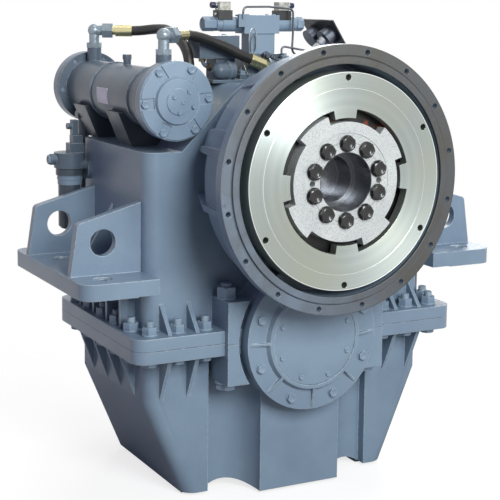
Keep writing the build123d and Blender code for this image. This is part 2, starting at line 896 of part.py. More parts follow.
def bell_housing():
    """The flywheel housing: a drilled ring, a wide drum and a ribbed neck behind it."""
    bell = turned_y([
        (0, -spigot_height),
        (spigot_radius, -spigot_height),
        (spigot_radius, groove_depth),
        (spigot_radius + groove_width, groove_depth),
        (spigot_radius + groove_width, 0),
        (housing_radius, 0),
        (housing_radius, housing_flange),
        (drum_front_radius, housing_flange),
        (drum_rear_radius, drum_depth),
        (neck_front_radius, drum_depth),
        (neck_rear_radius, casing_front),
        (0, casing_front),
    ])
    crown = turned_y([
        (spigot_radius, housing_flange - 1),
        (crown_radius, housing_flange - 1),
        (drum_rear_radius + 1, drum_depth),
        (neck_front_radius, drum_depth),
    ])
    bell += crown & plate_y(sector(2 * housing_radius, 1, 2 * crown_half_angle, 90), 0, casing_front)
    cheek = turned_y([
        (neck_rear_radius - neck_wall, casing_front),
        (neck_rib_rear - neck_rib_step, casing_front),
        (neck_rib_middle - neck_rib_step, drum_depth),
        (neck_rib_front - neck_rib_step, housing_flange - 1),
        (spigot_radius, housing_flange - 1),
    ])
    first, last = cheek_angles
    cheek &= plate_y(sector(2 * housing_radius, 1, last - first, (first + last) / 2), 0, casing_front)
    for piece in both_sides(cheek):
        bell += piece
    for angle in neck_rib_angles:
        shape = polygon([
            (neck_rear_radius - neck_wall, casing_front),
            (neck_rib_rear, casing_front),
            (neck_rib_middle, drum_depth),
            (neck_rib_front, housing_flange - 1),
            (spigot_radius, housing_flange - 1),
        ])
        rib = extrude(Pos(0, 0, -neck_rib_width / 2) * shape, amount=neck_rib_width)
        for piece in both_sides(Rot(0, -angle, 0) * rib):
            bell += piece
    cut_radius = ear_groove_radius + 10
    cut_from = front_cover_boss - 10
    scallop = rod_y(cut_radius, cut_from, casing_front + 1, 0, output_z)
    scallop_wall = rod_y(cut_radius + neck_wall, cut_from - neck_wall, casing_front + 1, 0, output_z)
    hollow = turned_y([
        (0, -spigot_height - 1),
        (spigot_opening, -spigot_height - 1),
        (spigot_opening, drum_depth - neck_wall),
        (neck_front_radius - neck_wall, drum_depth - neck_wall),
        (neck_rear_radius - neck_wall, casing_front - neck_rear_flange),
        (neck_rear_radius - neck_wall - neck_lip, casing_front - neck_rear_flange),
        (neck_rear_radius - neck_wall - neck_lip, casing_front + 1),
        (0, casing_front + 1),
    ])
    bell = bell - scallop - (hollow - scallop_wall)
    hole = rod_y(housing_hole_radius, -1, housing_flange + 1, housing_pcd / 2, 0)
    for piece in around_y(hole, housing_holes, 180 / housing_holes):
        bell -= piece
    for hole in neck_bolt_holes(casing_front - neck_rear_flange - 1, casing_front + 1):
        bell -= hole
    return bell


# Fasteners

def case_bolt(x, y):
    """A bolt of the split flange, with its head below."""
    head = hexagon_z(case_bolt_flats, flange_bottom - case_head_height, flange_bottom, x, y)
    return head + rod_z(case_bolt_radius, flange_bottom - 1, flange_top + case_bolt_stand, x, y)


def case_nut(x, y):
    nut = hexagon_z(case_bolt_flats, flange_top, flange_top + case_nut_height, x, y)
    return nut - rod_z(case_bolt_radius + fit_gap, flange_top - 1, flange_top + case_nut_height + 1, x, y)


def cap_bolt(x, y):
    """A large bolt that clamps the two halves of a bearing housing."""
    bottom = output_z - ear_half_height
    head = hexagon_z(cap_bolt_flats, bottom - cap_head_height, bottom, x, y)
    return head + rod_z(cap_bolt_radius, bottom - 1, output_z + ear_half_height + cap_nut_height + 8, x, y)


def cap_nut(x, y):
    top = output_z + ear_half_height
    nut = hexagon_z(cap_bolt_flats, top, top + cap_nut_height, x, y)
    return nut - rod_z(cap_bolt_radius + fit_gap, top - 1, top + cap_nut_height + 1, x, y)


def casing_bolts():
    return group([case_bolt(x, y) for x, y in bolt_places()] + [cap_bolt(x, y) for x, y in ear_places()])


def casing_nuts():
    return group([case_nut(x, y) for x, y in bolt_places()] + [cap_nut(x, y) for x, y in ear_places()])


def cover_bolt(face, grip, radius, flats, head, circle):
    """A hexagon bolt that points into the casing, drawn beside the axis."""
    return hexagon_y(flats, face - head, face, circle, 0) + rod_y(radius, face - 1, face + grip, circle, 0)


def rear_bolt(face, grip, radius, flats, head, circle):
    """The same bolt on the rear side, pointing forward."""
    return hexagon_y(flats, face, face + head, circle, 0) + rod_y(radius, face - grip, face + 1, circle, 0)


def cover_bolt_group():
    """Bolts of the covers, the flywheel housing and the cooler's caps."""
    start = 180 / cover_bolts
    size = (cover_bolt_radius, cover_bolt_flats, cover_bolt_head)
    front = cover_bolt(front_cover_face, collar_front - front_cover_face + 20, *size, cover_bolt_circle)
    bolts = around_y(front, cover_bolts, start, 0, output_z)
    rear = rear_bolt(collar_rear + rear_cover_flange, rear_cover_flange + 20, *size, cover_bolt_circle)
    bolts += around_y(rear, cover_bolts, start, 0, output_z)
    small = cover_bolt(plate_face, plate_bolt_grip, plate_bolt_radius, plate_bolt_flats, plate_bolt_head,
                       plate_bolt_circle)
    bolts += around_y(small, cover_bolts, start, 0, output_z)
    neck = cover_bolt(casing_front - neck_rear_flange, neck_rear_flange + front_disc_depth - 2, *size, 0)
    bolts += around_neck(neck)
    cap_size = (cooler_bolt_radius, cooler_bolt_flats, 8)
    cap_grip = cooler_cap_thickness + cooler_flange_thickness - 4
    cap = cover_bolt(cooler_front, cap_grip, *cap_size, cooler_bolt_circle)
    bolts += around_y(cap, cooler_bolts, cooler_bolt_turn, cooler_x, cooler_z)
    end_cap = rear_bolt(cooler_rear, cap_grip, *cap_size, cooler_bolt_circle)
    bolts += around_y(end_cap, cooler_bolts, cooler_bolt_turn, cooler_x, cooler_z)
    return group(bolts)


def cooler_bolt_holes():
    """Holes through the cooler's flanges and caps."""
    grip = cooler_cap_thickness + cooler_flange_thickness
    holes = []
    for y_from in (cooler_front, cooler_rear - grip):
        hole = rod_y(cooler_bolt_radius + bolt_gap, y_from - 1, y_from + grip + 1, cooler_bolt_circle, 0)
        holes += around_y(hole, cooler_bolts, cooler_bolt_turn, cooler_x, cooler_z)
    return holes


# Elastic coupling

def sector(outer, inner, width, middle):
    """A ring sector sketch, its middle at the given angle."""
    points = [(0, 0)]
    reach = outer * 1.3
    for step in range(5):
        angle = math.radians(middle - width / 2 + width * step / 4)
        points.append((reach * math.cos(angle), reach * math.sin(angle)))
    return (Circle(outer) - Circle(inner)) & polygon(points)


def drive_ring():
    """The outer ring, bolted to the flywheel, with four inward stop teeth and a rear rim."""
    outline = Circle(coupling_radius) - Circle(coupling_tooth_root)
    for number in range(4):
        outline += sector(coupling_tooth_root + 1, coupling_tooth_tip, coupling_tooth_width,
                          coupling_tooth_turn + 90 * number)
    ring = plate_y(outline, coupling_front, coupling_front + coupling_thickness)
    rim_to = coupling_front + coupling_thickness + coupling_rim_depth
    ring += ring_y(coupling_radius, coupling_rim_inner, coupling_front + coupling_thickness - 1, rim_to)
    ring -= ring_y(score_radius + score_width, score_radius, coupling_front - 1, coupling_front + score_depth)
    hole = rod_y(coupling_hole_radius, coupling_front - 1, rim_to + 1, coupling_pcd / 2, 0)
    for piece in around_y(hole, coupling_holes, 90):
        ring -= piece
    return ring


def hub_spider():
    """The inner star: four lugs between the ring's teeth, bolted to the input shaft."""
    outline = Circle(hub_radius)
    for number in range(4):
        outline += sector(hub_lug_radius, hub_radius - 20, hub_lug_width, hub_lug_turn + 90 * number)
    hub = plate_y(outline, hub_front, rubber_from - 6)
    hub += rod_y(hub_radius, rubber_from - 7, hub_rear)
    hub -= rod_y(hub_register_radius, hub_front - 1, hub_front + hub_register_depth)
    hub -= rod_y(hub_bore_radius, hub_front - 1, hub_rear + 1)
    hole = rod_y(hub_bolt_radius + bolt_gap, hub_front - 1, hub_rear + 1, hub_bolt_circle, 0)
    for piece in around_y(hole, hub_bolts, 90):
        hub -= piece
    dowel = rod_y(hub_dowel_radius, hub_front - 1, hub_front + 30, hub_bolt_circle, 0)
    for piece in around_y(dowel, 2, 0):
        hub -= piece
    return hub


def coupling_rubber():
    """The rubber disc bonded between the hub and the drive ring's rim."""
    rim_to = coupling_front + coupling_thickness + coupling_rim_depth
    middle = (hub_radius + coupling_rim_inner) / 2
    outer = coupling_rim_inner - fit_gap
    inner = hub_radius + fit_gap
    return turned_y([
        (inner, rubber_from), (middle, rubber_from + rubber_waist), (outer, rubber_from),
        (outer, rim_to - 2), (middle, rim_to - 2 - rubber_waist), (inner, rim_to - 2),
    ])


def hub_bolt_group():
    face = hub_front + hub_register_depth
    grip = hub_flange_rear - face - 4
    bolt = cover_bolt(face, grip, hub_bolt_radius, hub_bolt_flats, hub_bolt_head, hub_bolt_circle)
    return group(around_y(bolt, hub_bolts, 90))


# Shafts, bearings and clutches

def bearing(bore, outer, y_from, width, x=0.0, z=0.0):
    """A roller bearing: the outer ring, and the inner ring with its rollers."""
    inner_race = bore + (outer - bore) * 0.3
    outer_race = bore + (outer - bore) * 0.7
    y_to = y_from + width
    outer_ring = ring_y(outer, outer_race, y_from, y_to, x, z)
    inner_ring = ring_y(inner_race, bore + fit_gap, y_from, y_to, x, z)
    roller = rod_y((outer_race - inner_race) / 2 - running_gap, y_from + 3, y_to - 3,
                   (outer_race + inner_race) / 2, 0)
    return outer_ring, [inner_ring] + around_y(roller, roller_count, 0, x, z)


input_front_bearing = bearing(input_bearing_bore, input_bearing_outer, input_bearing_from,
                              small_bearing_width)
input_rear_bearing = bearing(rear_bearing_bore, rear_bearing_outer, rear_bearing_from,
                             small_bearing_width)
reverse_front_bearing = bearing(rear_bearing_bore, rear_bearing_outer, reverse_bearing_from,
                                small_bearing_width, reverse_x, reverse_z)
reverse_rear_bearing = bearing(rear_bearing_bore, rear_bearing_outer, rear_bearing_from,
                               small_bearing_width, reverse_x, reverse_z)
output_front_bearing = bearing(output_bearing_bore, output_bearing_outer,
                               output_front_bearing_from, output_bearing_width, 0, output_z)
output_rear_bearing = bearing(output_bearing_bore, output_bearing_outer,
                              output_rear_bearing_from, output_bearing_width, 0, output_z)


def bearing_outer_rings():
    bearings = (input_front_bearing, input_rear_bearing, reverse_front_bearing,
                reverse_rear_bearing, output_front_bearing, output_rear_bearing)
    return group([pair[0] for pair in bearings])


def input_shaft():
    """The input shaft, with a hollow flanged front end that carries the coupling."""
    rear_end = rear_bearing_from + small_bearing_width
    shaft = turned_y([
        (0, shaft_hollow_to),
        (shaft_hollow_radius, shaft_hollow_to),
        (shaft_hollow_radius, hub_rear),
        (shaft_flange_radius, hub_rear),
        (shaft_flange_radius, hub_flange_rear),
        (shaft_neck_radius, hub_flange_rear),
        (shaft_neck_radius, shaft_neck_to),
        (seal_journal_radius, shaft_neck_to),
        (seal_journal_radius, input_bearing_from - 1),
        (input_bearing_bore, input_bearing_from - 1),
        (input_bearing_bore, drum_sleeve_to),
        (pinion_journal_radius, drum_sleeve_to),
        (pinion_journal_radius, rear_end),
        (0, rear_end),
    ])
    hole = rod_y(hub_bolt_radius + bolt_gap, hub_rear - 1, hub_flange_rear + 1, hub_bolt_circle, 0)
    for piece in around_y(hole, hub_bolts, 90):
        shaft -= piece
    return shaft


def reverse_shaft():
    """The second shaft, with the oil pump's driving gear at its rear end."""
    front_end = reverse_bearing_from
    rear_end = rear_bearing_from + small_bearing_width
    gear_from = pump_from + pump_floor + 0.3
    shaft = turned_y([
        (0, front_end),
        (rear_bearing_bore, front_end),
        (rear_bearing_bore, reverse_bearing_from + small_bearing_width),
        (input_bearing_bore, reverse_bearing_from + small_bearing_width),
        (input_bearing_bore, drum_sleeve_to),
        (pinion_journal_radius, drum_sleeve_to),
        (pinion_journal_radius, rear_end),
        (pump_shaft_radius, rear_end),
        (pump_shaft_radius, gear_from + pump_gear_width - 0.6),
        (0, gear_from + pump_gear_width - 0.6),
    ], reverse_x, reverse_z)
    gear_sketch = gear_outline(pump_teeth, pump_module) - Circle(pump_shaft_radius + fit_gap)
    gear = plate_y(Pos(reverse_x, reverse_z) * gear_sketch, gear_from, gear_from + pump_gear_width - 0.6)
    return group([shaft, gear])


def clutch_drum(turn, x=0.0, z=0.0):
    """A clutch drum with the transfer gear cut on its outside."""
    teeth = gear_outline(transfer_teeth, transfer_module, turn) - Circle(drum_bore)
    drum = plate_y(teeth, transfer_from, transfer_from + transfer_face)
    drum += ring_y(drum_radius, drum_bore, drum_from, drum_to)
    drum += ring_y(drum_radius - 1, input_bearing_bore + fit_gap, drum_from, drum_from + drum_web)
    drum += ring_y(drum_sleeve_radius, input_bearing_bore + fit_gap, drum_from + 1, drum_sleeve_to)
    drum += ring_y(drum_bore + 1, pinion_hub_radius + 4, drum_to - backing_plate, drum_to)
    return Pos(x, 0, z) * drum


def steel_plates(x=0.0, z=0.0):
    """The clutch plates that turn with the drum."""
    starts = [plate_from + plate_pitch * number for number in range(plate_pairs)]
    return [ring_y(drum_bore - fit_gap, pinion_hub_radius + 5, y, y + steel_thickness, x, z) for y in starts]


def friction_plates(x=0.0, z=0.0):
    """The clutch plates that turn with the pinion."""
    first = plate_from + steel_thickness + plate_gap
    starts = [first + plate_pitch * number for number in range(plate_pairs)]
    return group([
        ring_y(drum_bore - 4, pinion_hub_radius + fit_gap, y, y + friction_thickness, x, z)
        for y in starts
    ])


def clutch_piston(x=0.0, z=0.0):
    """The ring piston that squeezes the plates."""
    return ring_y(drum_bore - running_gap, drum_sleeve_radius + running_gap, piston_from,
                  piston_from + piston_thickness, x, z)


def pinion(turn, x=0.0, z=0.0):
    """A pinion that runs on two bushes and carries the friction plates on its hub."""
    bore = pinion_journal_radius + pinion_bush_wall
    body = plate_y(gear_outline(pinion_teeth, main_module, turn) - Circle(bore), main_face_from, main_face_to)
    body += ring_y(pinion_hub_radius, bore, pinion_hub_from, main_face_from + 1)
    body += ring_y(pinion_hub_radius, bore, main_face_to - 1, main_face_to + 40)
    bushes = [
        ring_y(bore - fit_gap, pinion_journal_radius + running_gap, y_from, y_from + 60, x, z)
        for y_from in (pinion_hub_from + 10, main_face_to - 30)
    ]
    return group([Pos(x, 0, z) * body] + bushes)


def output_gear():
    """The large gear: a toothed rim, a web with round windows and a hub."""
    outline = gear_outline(output_teeth, main_module, output_turn) - Circle(gear_rim_inner)
    gear = plate_y(outline, main_face_from, main_face_to)
    middle = (main_face_from + main_face_to) / 2
    gear += ring_y(gear_rim_inner + 1, gear_hub_radius - 1, middle - gear_web_half, middle + gear_web_half)
    gear += ring_y(gear_hub_radius, output_seat_radius + fit_gap, main_face_from, main_face_to)
    window = rod_y(gear_window_radius, middle - gear_web_half - 1, middle + gear_web_half + 1,
                   (gear_rim_inner + gear_hub_radius) / 2, 0)
    for piece in around_y(window, gear_windows, 0):
        gear -= piece
    return Pos(0, 0, output_z) * gear


def output_shaft():
    """The output shaft, with a shoulder for the gear and a plain end in the flange."""
    front_end = output_front_bearing_from
    rear_journal = output_rear_bearing_from
    return turned_y([
        (0, front_end),
        (output_bearing_bore, front_end),
        (output_bearing_bore, front_end + output_bearing_width),
        (output_shaft_radius, front_end + output_bearing_width),
        (output_shaft_radius, main_face_from - 20),
        (output_seat_radius, main_face_from - 20),
        (output_seat_radius, main_face_to + 4),
        (output_shaft_radius, main_face_to + 4),
        (output_shaft_radius, rear_journal),
        (output_bearing_bore, rear_journal),
        (output_bearing_bore, output_flange_from),
        (0, output_flange_from),
    ], 0, output_z)


def output_flange():
    """The propeller shaft's flange, on a long hub that the rear seal runs on."""
    flange = turned_y([
        (output_bearing_bore + fit_gap, output_hub_from),
        (output_hub_radius, output_hub_from),
        (output_hub_radius, output_flange_from - output_flange_slope),
        (output_hub_radius + output_flange_slope, output_flange_from),
        (output_flange_radius, output_flange_from),
        (output_flange_radius, output_flange_to),
        (output_spigot_radius, output_flange_to),
        (output_spigot_radius, output_flange_to + output_spigot_height),
        (output_bearing_bore - output_flange_slope, output_flange_to + output_spigot_height),
        (output_bearing_bore - output_flange_slope, output_flange_from + fit_gap),
        (output_bearing_bore + fit_gap, output_flange_from + fit_gap),
    ], 0, output_z)
    hole = rod_y(output_flange_hole_radius, output_flange_from - 1, output_flange_to + 1,
                 output_flange_pcd / 2, 0)
    for piece in around_y(hole, output_flange_holes, 180 / output_flange_holes, 0, output_z):
        flange -= piece
    return flange


# Covers and seals

def output_front_cover():
    """The ribbed cover over the front output bearing."""
    cover = turned_y([
        (cover_plate_radius, front_cover_boss),
        (front_cover_boss_radius - cover_step, front_cover_boss),
        (front_cover_boss_radius, front_cover_face),
        (front_cover_radius, front_cover_face),
        (front_cover_radius, collar_front),
        (output_bearing_outer - bearing_lip - bolt_gap, collar_front),
        (output_bearing_outer - bearing_lip - bolt_gap, output_front_bearing_from - 1),
        (cover_plate_radius - bearing_lip, output_front_bearing_from - 1),
        (cover_plate_radius - bearing_lip, plate_seat + plate_seat_depth),
        (cover_plate_radius - plate_seat_width, plate_seat + plate_seat_depth),
        (cover_plate_radius - plate_seat_width, plate_seat),
        (cover_plate_radius, plate_seat),
    ], 0, output_z)
    inner = front_cover_boss_radius - cover_step - 2
    shape = polygon([
        (inner, front_cover_boss + 1),
        (front_cover_radius - cover_step, front_cover_face - 2),
        (front_cover_radius - cover_step, front_cover_face + 1),
        (inner, front_cover_face + 1),
    ])
    rib = extrude(Pos(0, 0, -cover_rib_thickness / 2) * shape, amount=cover_rib_thickness)
    for piece in around_y(rib, cover_bolts, 0, 0, output_z):
        cover += piece
    for hole in cover_bolt_holes(front_cover_face - 1, collar_front + 1):
        cover -= hole
    for hole in plate_bolt_holes():
        cover -= hole
    return cover


def plate_bolt_holes():
    """Holes for the small bolts of the plate in the front cover."""
    hole = rod_y(plate_bolt_radius + bolt_gap, front_cover_boss, plate_seat + plate_seat_depth + 1,
                 plate_bolt_circle, 0)
    return around_y(hole, cover_bolts, 180 / cover_bolts, 0, output_z)


def output_cover_plate():
    """The round plate let into the front cover."""
    plate = rod_y(cover_plate_radius - cover_plate_gap, plate_face, plate_seat, 0, output_z)
    for hole in plate_bolt_holes():
        plate -= hole
    return plate


def output_rear_cover():
    """The rear bearing's cover, which holds the output seal."""
    rear = collar_rear + rear_cover_thickness
    face = collar_rear + rear_cover_flange
    cover = turned_y([
        (output_seal_radius + seal_wall + fit_gap, rear),
        (output_seal_radius + seal_wall + 3 * cover_step, rear),
        (output_seal_radius + seal_wall + 4 * cover_step, face),
        (collar_radius, face),
        (collar_radius, collar_rear),
        (output_bearing_outer - bearing_lip - bolt_gap, collar_rear),
        (output_bearing_outer - bearing_lip - bolt_gap, output_rear_bearing_from + output_bearing_width + 1),
        (output_bearing_outer - 3 * bearing_lip, output_rear_bearing_from + output_bearing_width + 1),
        (output_bearing_outer - 3 * bearing_lip, collar_rear + 2),
        (output_seal_radius + seal_play, collar_rear + 2),
        (output_seal_radius + seal_play, rear - seal_width),
        (output_seal_radius + seal_wall + fit_gap, rear - seal_width),
    ], 0, output_z)
    for hole in cover_bolt_holes(collar_rear - 1, face + 1):
        cover -= hole
    return cover


def shaft_seals():
    """The rubber lip seals of the input and output shafts."""
    rear = collar_rear + rear_cover_thickness
    output_seal = ring_y(output_seal_radius + seal_wall, output_bearing_bore + seal_gap,
                         rear - seal_width + fit_gap, rear, 0, output_z)
    front = casing_front - input_cover_thickness
    input_seal = ring_y(seal_journal_radius + seal_wall, seal_journal_radius + seal_gap, front,
                        front + seal_width - fit_gap)
    return group([input_seal, output_seal])


def shaft_covers():
    """The input shaft's seal cover in front and its blind cover at the back."""
    front = casing_front - input_cover_thickness
    seal_cover = turned_y([
        (seal_journal_radius + seal_wall + fit_gap, front),
        (input_cover_radius - 4 * cover_step, front),
        (input_cover_radius - 3 * cover_step, front + cover_step),
        (input_cover_radius, front + cover_step),
        (input_cover_radius, casing_front),
        (input_bearing_outer - bolt_gap, casing_front),
        (input_bearing_outer - bolt_gap, input_bearing_from - 1),
        (input_bearing_outer - bearing_lip, input_bearing_from - 1),
        (input_bearing_outer - bearing_lip, front + seal_width + seal_stop),
        (seal_journal_radius + seal_play, front + seal_width + seal_stop),
        (seal_journal_radius + seal_play, front + seal_width),
        (seal_journal_radius + seal_wall + fit_gap, front + seal_width),
    ])
    blind_cover = turned_y([
        (0, casing_rear + 2 * cover_step),
        (rear_bearing_outer + bearing_lip, casing_rear + 2 * cover_step),
        (rear_bearing_outer + bearing_lip + cover_step, casing_rear + cover_step),
        (rear_bearing_outer + 5 * cover_step, casing_rear + cover_step),
        (rear_bearing_outer + 5 * cover_step, casing_rear),
        (rear_bearing_outer - bolt_gap, casing_rear),
        (rear_bearing_outer - bolt_gap, rear_bearing_from + small_bearing_width + 1),
        (rear_bearing_outer - bearing_lip, rear_bearing_from + small_bearing_width + 1),
        (rear_bearing_outer - bearing_lip, casing_rear + seal_stop),
        (0, casing_rear + seal_stop),
    ])
    return group([seal_cover, blind_cover])


# Oil pump

def stadium(radius, grow=0.0):
    """The rounded outline round the pump's two gears."""
    height = pump_teeth * pump_module
    middle = Pos(reverse_x, (reverse_z + pump_idler_z) / 2)
    return middle * Rot(0, 0, 90) * SlotCenterToCenter(height, 2 * (radius + grow))


def oil_pump_housing():
    """The gear pump's body and cover, bolted over the reverse shaft's rear end."""
    tip = pump_teeth * pump_module / 2 + pump_module
    chamber_from = pump_from + pump_floor
    chamber_to = chamber_from + pump_gear_width
    adaptor = ring_y(pump_flange_radius, pump_shaft_radius + 16, casing_rear, pump_from,
                     reverse_x, reverse_z)
    body = plate_y(stadium(tip, pump_wall), pump_from, chamber_to) + adaptor
    body += ring_y(rear_bearing_outer - bolt_gap, rear_bearing_outer - 14,
                   rear_bearing_from + small_bearing_width + 1, casing_rear + 1, reverse_x, reverse_z)
    for centre_z in (reverse_z, pump_idler_z):
        body -= rod_y(tip + pump_tip_gap, chamber_from, chamber_to + 1, reverse_x, centre_z)
    body -= rod_y(pump_shaft_radius + running_gap, casing_rear - 1, chamber_from + 1, reverse_x, reverse_z)
    body -= rod_y(pump_shaft_radius + running_gap, chamber_from - 10, chamber_from + 1,
                  reverse_x, pump_idler_z)
    cover = plate_y(stadium(tip, pump_wall), chamber_to, chamber_to + pump_cover_thickness)
    cover -= rod_y(pump_shaft_radius + running_gap, chamber_to - 1, chamber_to + 10, reverse_x, pump_idler_z)
    return group([body, cover])


def pump_idler_gear():
    """The pump's driven gear with its two short journals."""
    chamber_from = pump_from + pump_floor
    gear_from = chamber_from + 0.3
    gear = plate_y(Pos(reverse_x, pump_idler_z) * gear_outline(pump_teeth, pump_module, pump_idler_turn),
                   gear_from, gear_from + pump_gear_width - 0.6)
    journal = rod_y(pump_shaft_radius, chamber_from - 9.5, chamber_from + pump_gear_width + 9.5,
                    reverse_x, pump_idler_z)
    return gear + journal


# Oil cooler

def cooler_shell():
    """The cooler's tube with end flanges, two bands and two threaded stubs on top."""
    flange_from = cooler_front + cooler_cap_thickness
    flange_to = cooler_rear - cooler_cap_thickness
    shell = rod_y(cooler_shell_radius, flange_from, flange_to)
    shell += rod_y(cooler_cap_radius, flange_from, flange_from + cooler_flange_thickness)
    shell += rod_y(cooler_cap_radius, flange_to - cooler_flange_thickness, flange_to)
    for place in cooler_band_places:
        shell += rod_y(cooler_shell_radius + cooler_band_height, place - cooler_band_width / 2,
                       place + cooler_band_width / 2)
    shell = Pos(cooler_x, 0, cooler_z) * shell
    for place in (cooler_port_front, cooler_port_rear):
        shell += rod_z(cooler_port_radius, cooler_z, cooler_port_top, cooler_x, place)
    vent_neck = cooler_z + cooler_shell_radius + vent_height
    shell += rod_z(vent_radius, cooler_z, vent_neck, cooler_x, vent_place)
    shell += hexagon_z(vent_flats, vent_neck, vent_neck + vent_height, cooler_x, vent_place)
    shell -= rod_y(cooler_shell_radius - cooler_shell_wall, flange_from - 1, flange_to + 1,
                   cooler_x, cooler_z)
    for hole in cooler_bolt_holes():
        shell -= hole
    return shell


def cooler_caps():
    """The cooler's end caps: a stepped front one, and a rear one with two water ports."""
    face = cooler_front
    inner = face + cooler_cap_thickness
    cavity = cooler_shell_radius - cooler_shell_wall
    cavity_end = cooler_cap_thickness / 3
    boss_face = face - cooler_boss_height
    front = turned_y([
        (0, boss_face - cooler_plate_height),
        (cooler_plate_radius, boss_face - cooler_plate_height),
        (cooler_plate_radius, boss_face),
        (cooler_boss_radius - cooler_cavity_step, boss_face),
        (cooler_boss_radius, face),
        (cooler_cap_radius, face),
        (cooler_cap_radius, inner),
        (cavity, inner),
        (cavity - cooler_cavity_step, face + cavity_end),
        (0, face + cavity_end),
    ])
    lands = turned_y([
        (cooler_boss_radius - cooler_cavity_step, face + 1),
        (cooler_boss_radius, face - cooler_land_height),
        (cooler_cap_radius - cooler_land_height, face - cooler_land_height),
        (cooler_cap_radius, face + 1),
    ])
    gap = block(cooler_boss_radius, cooler_cap_radius + 1, face - cooler_land_height - 1, face + 2,
                -cooler_land_gap / 2, cooler_land_gap / 2)
    for piece in around_y(gap, cooler_bolts, cooler_bolt_turn):
        lands -= piece
    front = Pos(cooler_x, 0, cooler_z) * (front + lands)
    back = cooler_rear
    rear = turned_y([
        (0, back - cavity_end),
        (cavity - cooler_cavity_step, back - cavity_end),
        (cavity, back - cooler_cap_thickness),
        (cooler_cap_radius, back - cooler_cap_thickness),
        (cooler_cap_radius, back),
        (0, back),
    ], cooler_x, cooler_z)
    for height in (cooler_z - water_port_spread, cooler_z + water_port_spread):
        port_end = back + water_port_length
        rear += rod_y(water_port_radius + water_port_wall, back - 1, port_end, cooler_x, height)
        rear -= rod_y(water_port_radius, back - cooler_cap_thickness, port_end + 1, cooler_x, height)
    for hole in cooler_bolt_holes():
        front -= hole
        rear -= hole
    return group([front, rear])


def cooler_saddles():
    """Two sheet metal cradles that stand on the casing's shoulder and hold the cooler."""
    outline = polygon([
        (cooler_x - saddle_foot_half, shoulder_top), (cooler_x + saddle_foot_half, shoulder_top),
        (cooler_x + saddle_top_half, saddle_top), (cooler_x - saddle_top_half, saddle_top),
    ])
    cradle = outline - Pos(cooler_x, cooler_z) * Circle(cooler_shell_radius + fit_gap)
    inside = offset(outline, amount=-saddle_sheet, kind=Kind.INTERSECTION)
    rim = cradle - inside
    tower = plate_y(casing_section(), casing_front, casing_rear)
    saddles = []
    for place in saddle_places:
        saddle = plate_y(rim, place, place + saddle_length)
        for end in (place, place + saddle_length - saddle_sheet):
            saddle += plate_y(cradle, end, end + saddle_sheet)
        saddles.append(saddle - tower)
    return group(saddles)


def cooler_elbow(place, turn):
    """A hexagon adaptor and a right-angled elbow on one of the cooler's stubs."""
    arm = elbow_reach - stem_length
    piece = hexagon_z(fitting_flats, cooler_port_top, cooler_port_top + fitting_width / 2, 0, 0)
    piece += rod_z(elbow_tube_radius, cooler_port_top, elbow_height, 0, 0)
    piece += Pos(0, 0, elbow_height) * Sphere(elbow_body_radius)
    piece += rod_y(elbow_tube_radius, -arm, 0, 0, elbow_height)
    piece += hexagon_y(fitting_flats, -arm, fitting_width - arm, 0, elbow_height)
    return Pos(cooler_x, place, 0) * Rot(0, 0, turn) * piece


def cooler_fittings():
    """The elbows on the cooler and the adaptors at the hoses' other ends."""
    ends = hose_ferrules()
    tower = plate_y(casing_section(), casing_front, casing_rear)
    rear_adaptor = hose_adaptor(rear_hose_points) - tower
    front_adaptor = hose_adaptor(front_hose_points) - valve_base()
    return group([
        cooler_elbow(cooler_port_rear, rear_elbow_turn) - ends,
        cooler_elbow(cooler_port_front, front_elbow_turn) - ends,
        rear_adaptor.solids().sort_by(Axis.Z)[-1],
        front_adaptor.solids().sort_by(Axis.Y)[0],
    ])


# Hoses, pipes and their end fittings

def elbow_route(place, turn):
    """The first two points of a hose: its start at an elbow and the end of its straight run."""
    along = math.radians(turn)
    reaches = (elbow_reach, elbow_reach + ferrule_length + 20)
    return [
        (cooler_x + reach * math.sin(along), place - reach * math.cos(along), elbow_height)
        for reach in reaches
    ]


rear_hose_points = elbow_route(cooler_port_rear, rear_elbow_turn) + [
    (-216.0, 744.0, 375.0), (-199.0, 698.0, 377.0), (-198.0, 640.0, 371.0), (-210.0, 588.0, 361.0),
    (-221.0, 548.0, 352.0), (-222.0, 514.0, 339.0), (-222.0, 488.0, 317.0), (-222.0, 474.5, 289.0),
    (-222.0, 470.0, 226.0),
]
front_hose_points = elbow_route(cooler_port_front, front_elbow_turn) + [
    (-219.0, 418.5, 361.0), (-173.0, 423.4, 348.0), (-128.0, 423.0, 330.0), (-84.0, 424.5, 309.5),
    (-14.0, 428.0, 283.5),
]


def smooth_path(points):
    """Straight runs joined by arcs that are as large as their runs allow."""
    corners = [Vector(*point) for point in points]
    radii = []
    for before, corner, after in zip(corners, corners[1:], corners[2:]):
        turn = (corner - before).get_angle(after - corner)
        run = min((corner - before).length, (after - corner).length)
        radii.append(0.45 * run / math.tan(math.radians(turn) / 2))
    return FilletPolyline(*points, radius=radii), radii


def tube_along(points, radius):
    """A round tube along a route."""
    path, radii = smooth_path(points)
    section = Plane(origin=path @ 0, z_dir=path % 0) * Circle(radius)
    return sweep(section, path=path), radii


def hoses():
    """The cooler's two oil hoses."""
    front, front_radii = tube_along(front_hose_points, hose_radius)
    rear, rear_radii = tube_along(rear_hose_points, hose_radius)
    print("front hose bends", [round(radius) for radius in front_radii])
    print("rear hose bends", [round(radius) for radius in rear_radii])
    return group([front, rear])


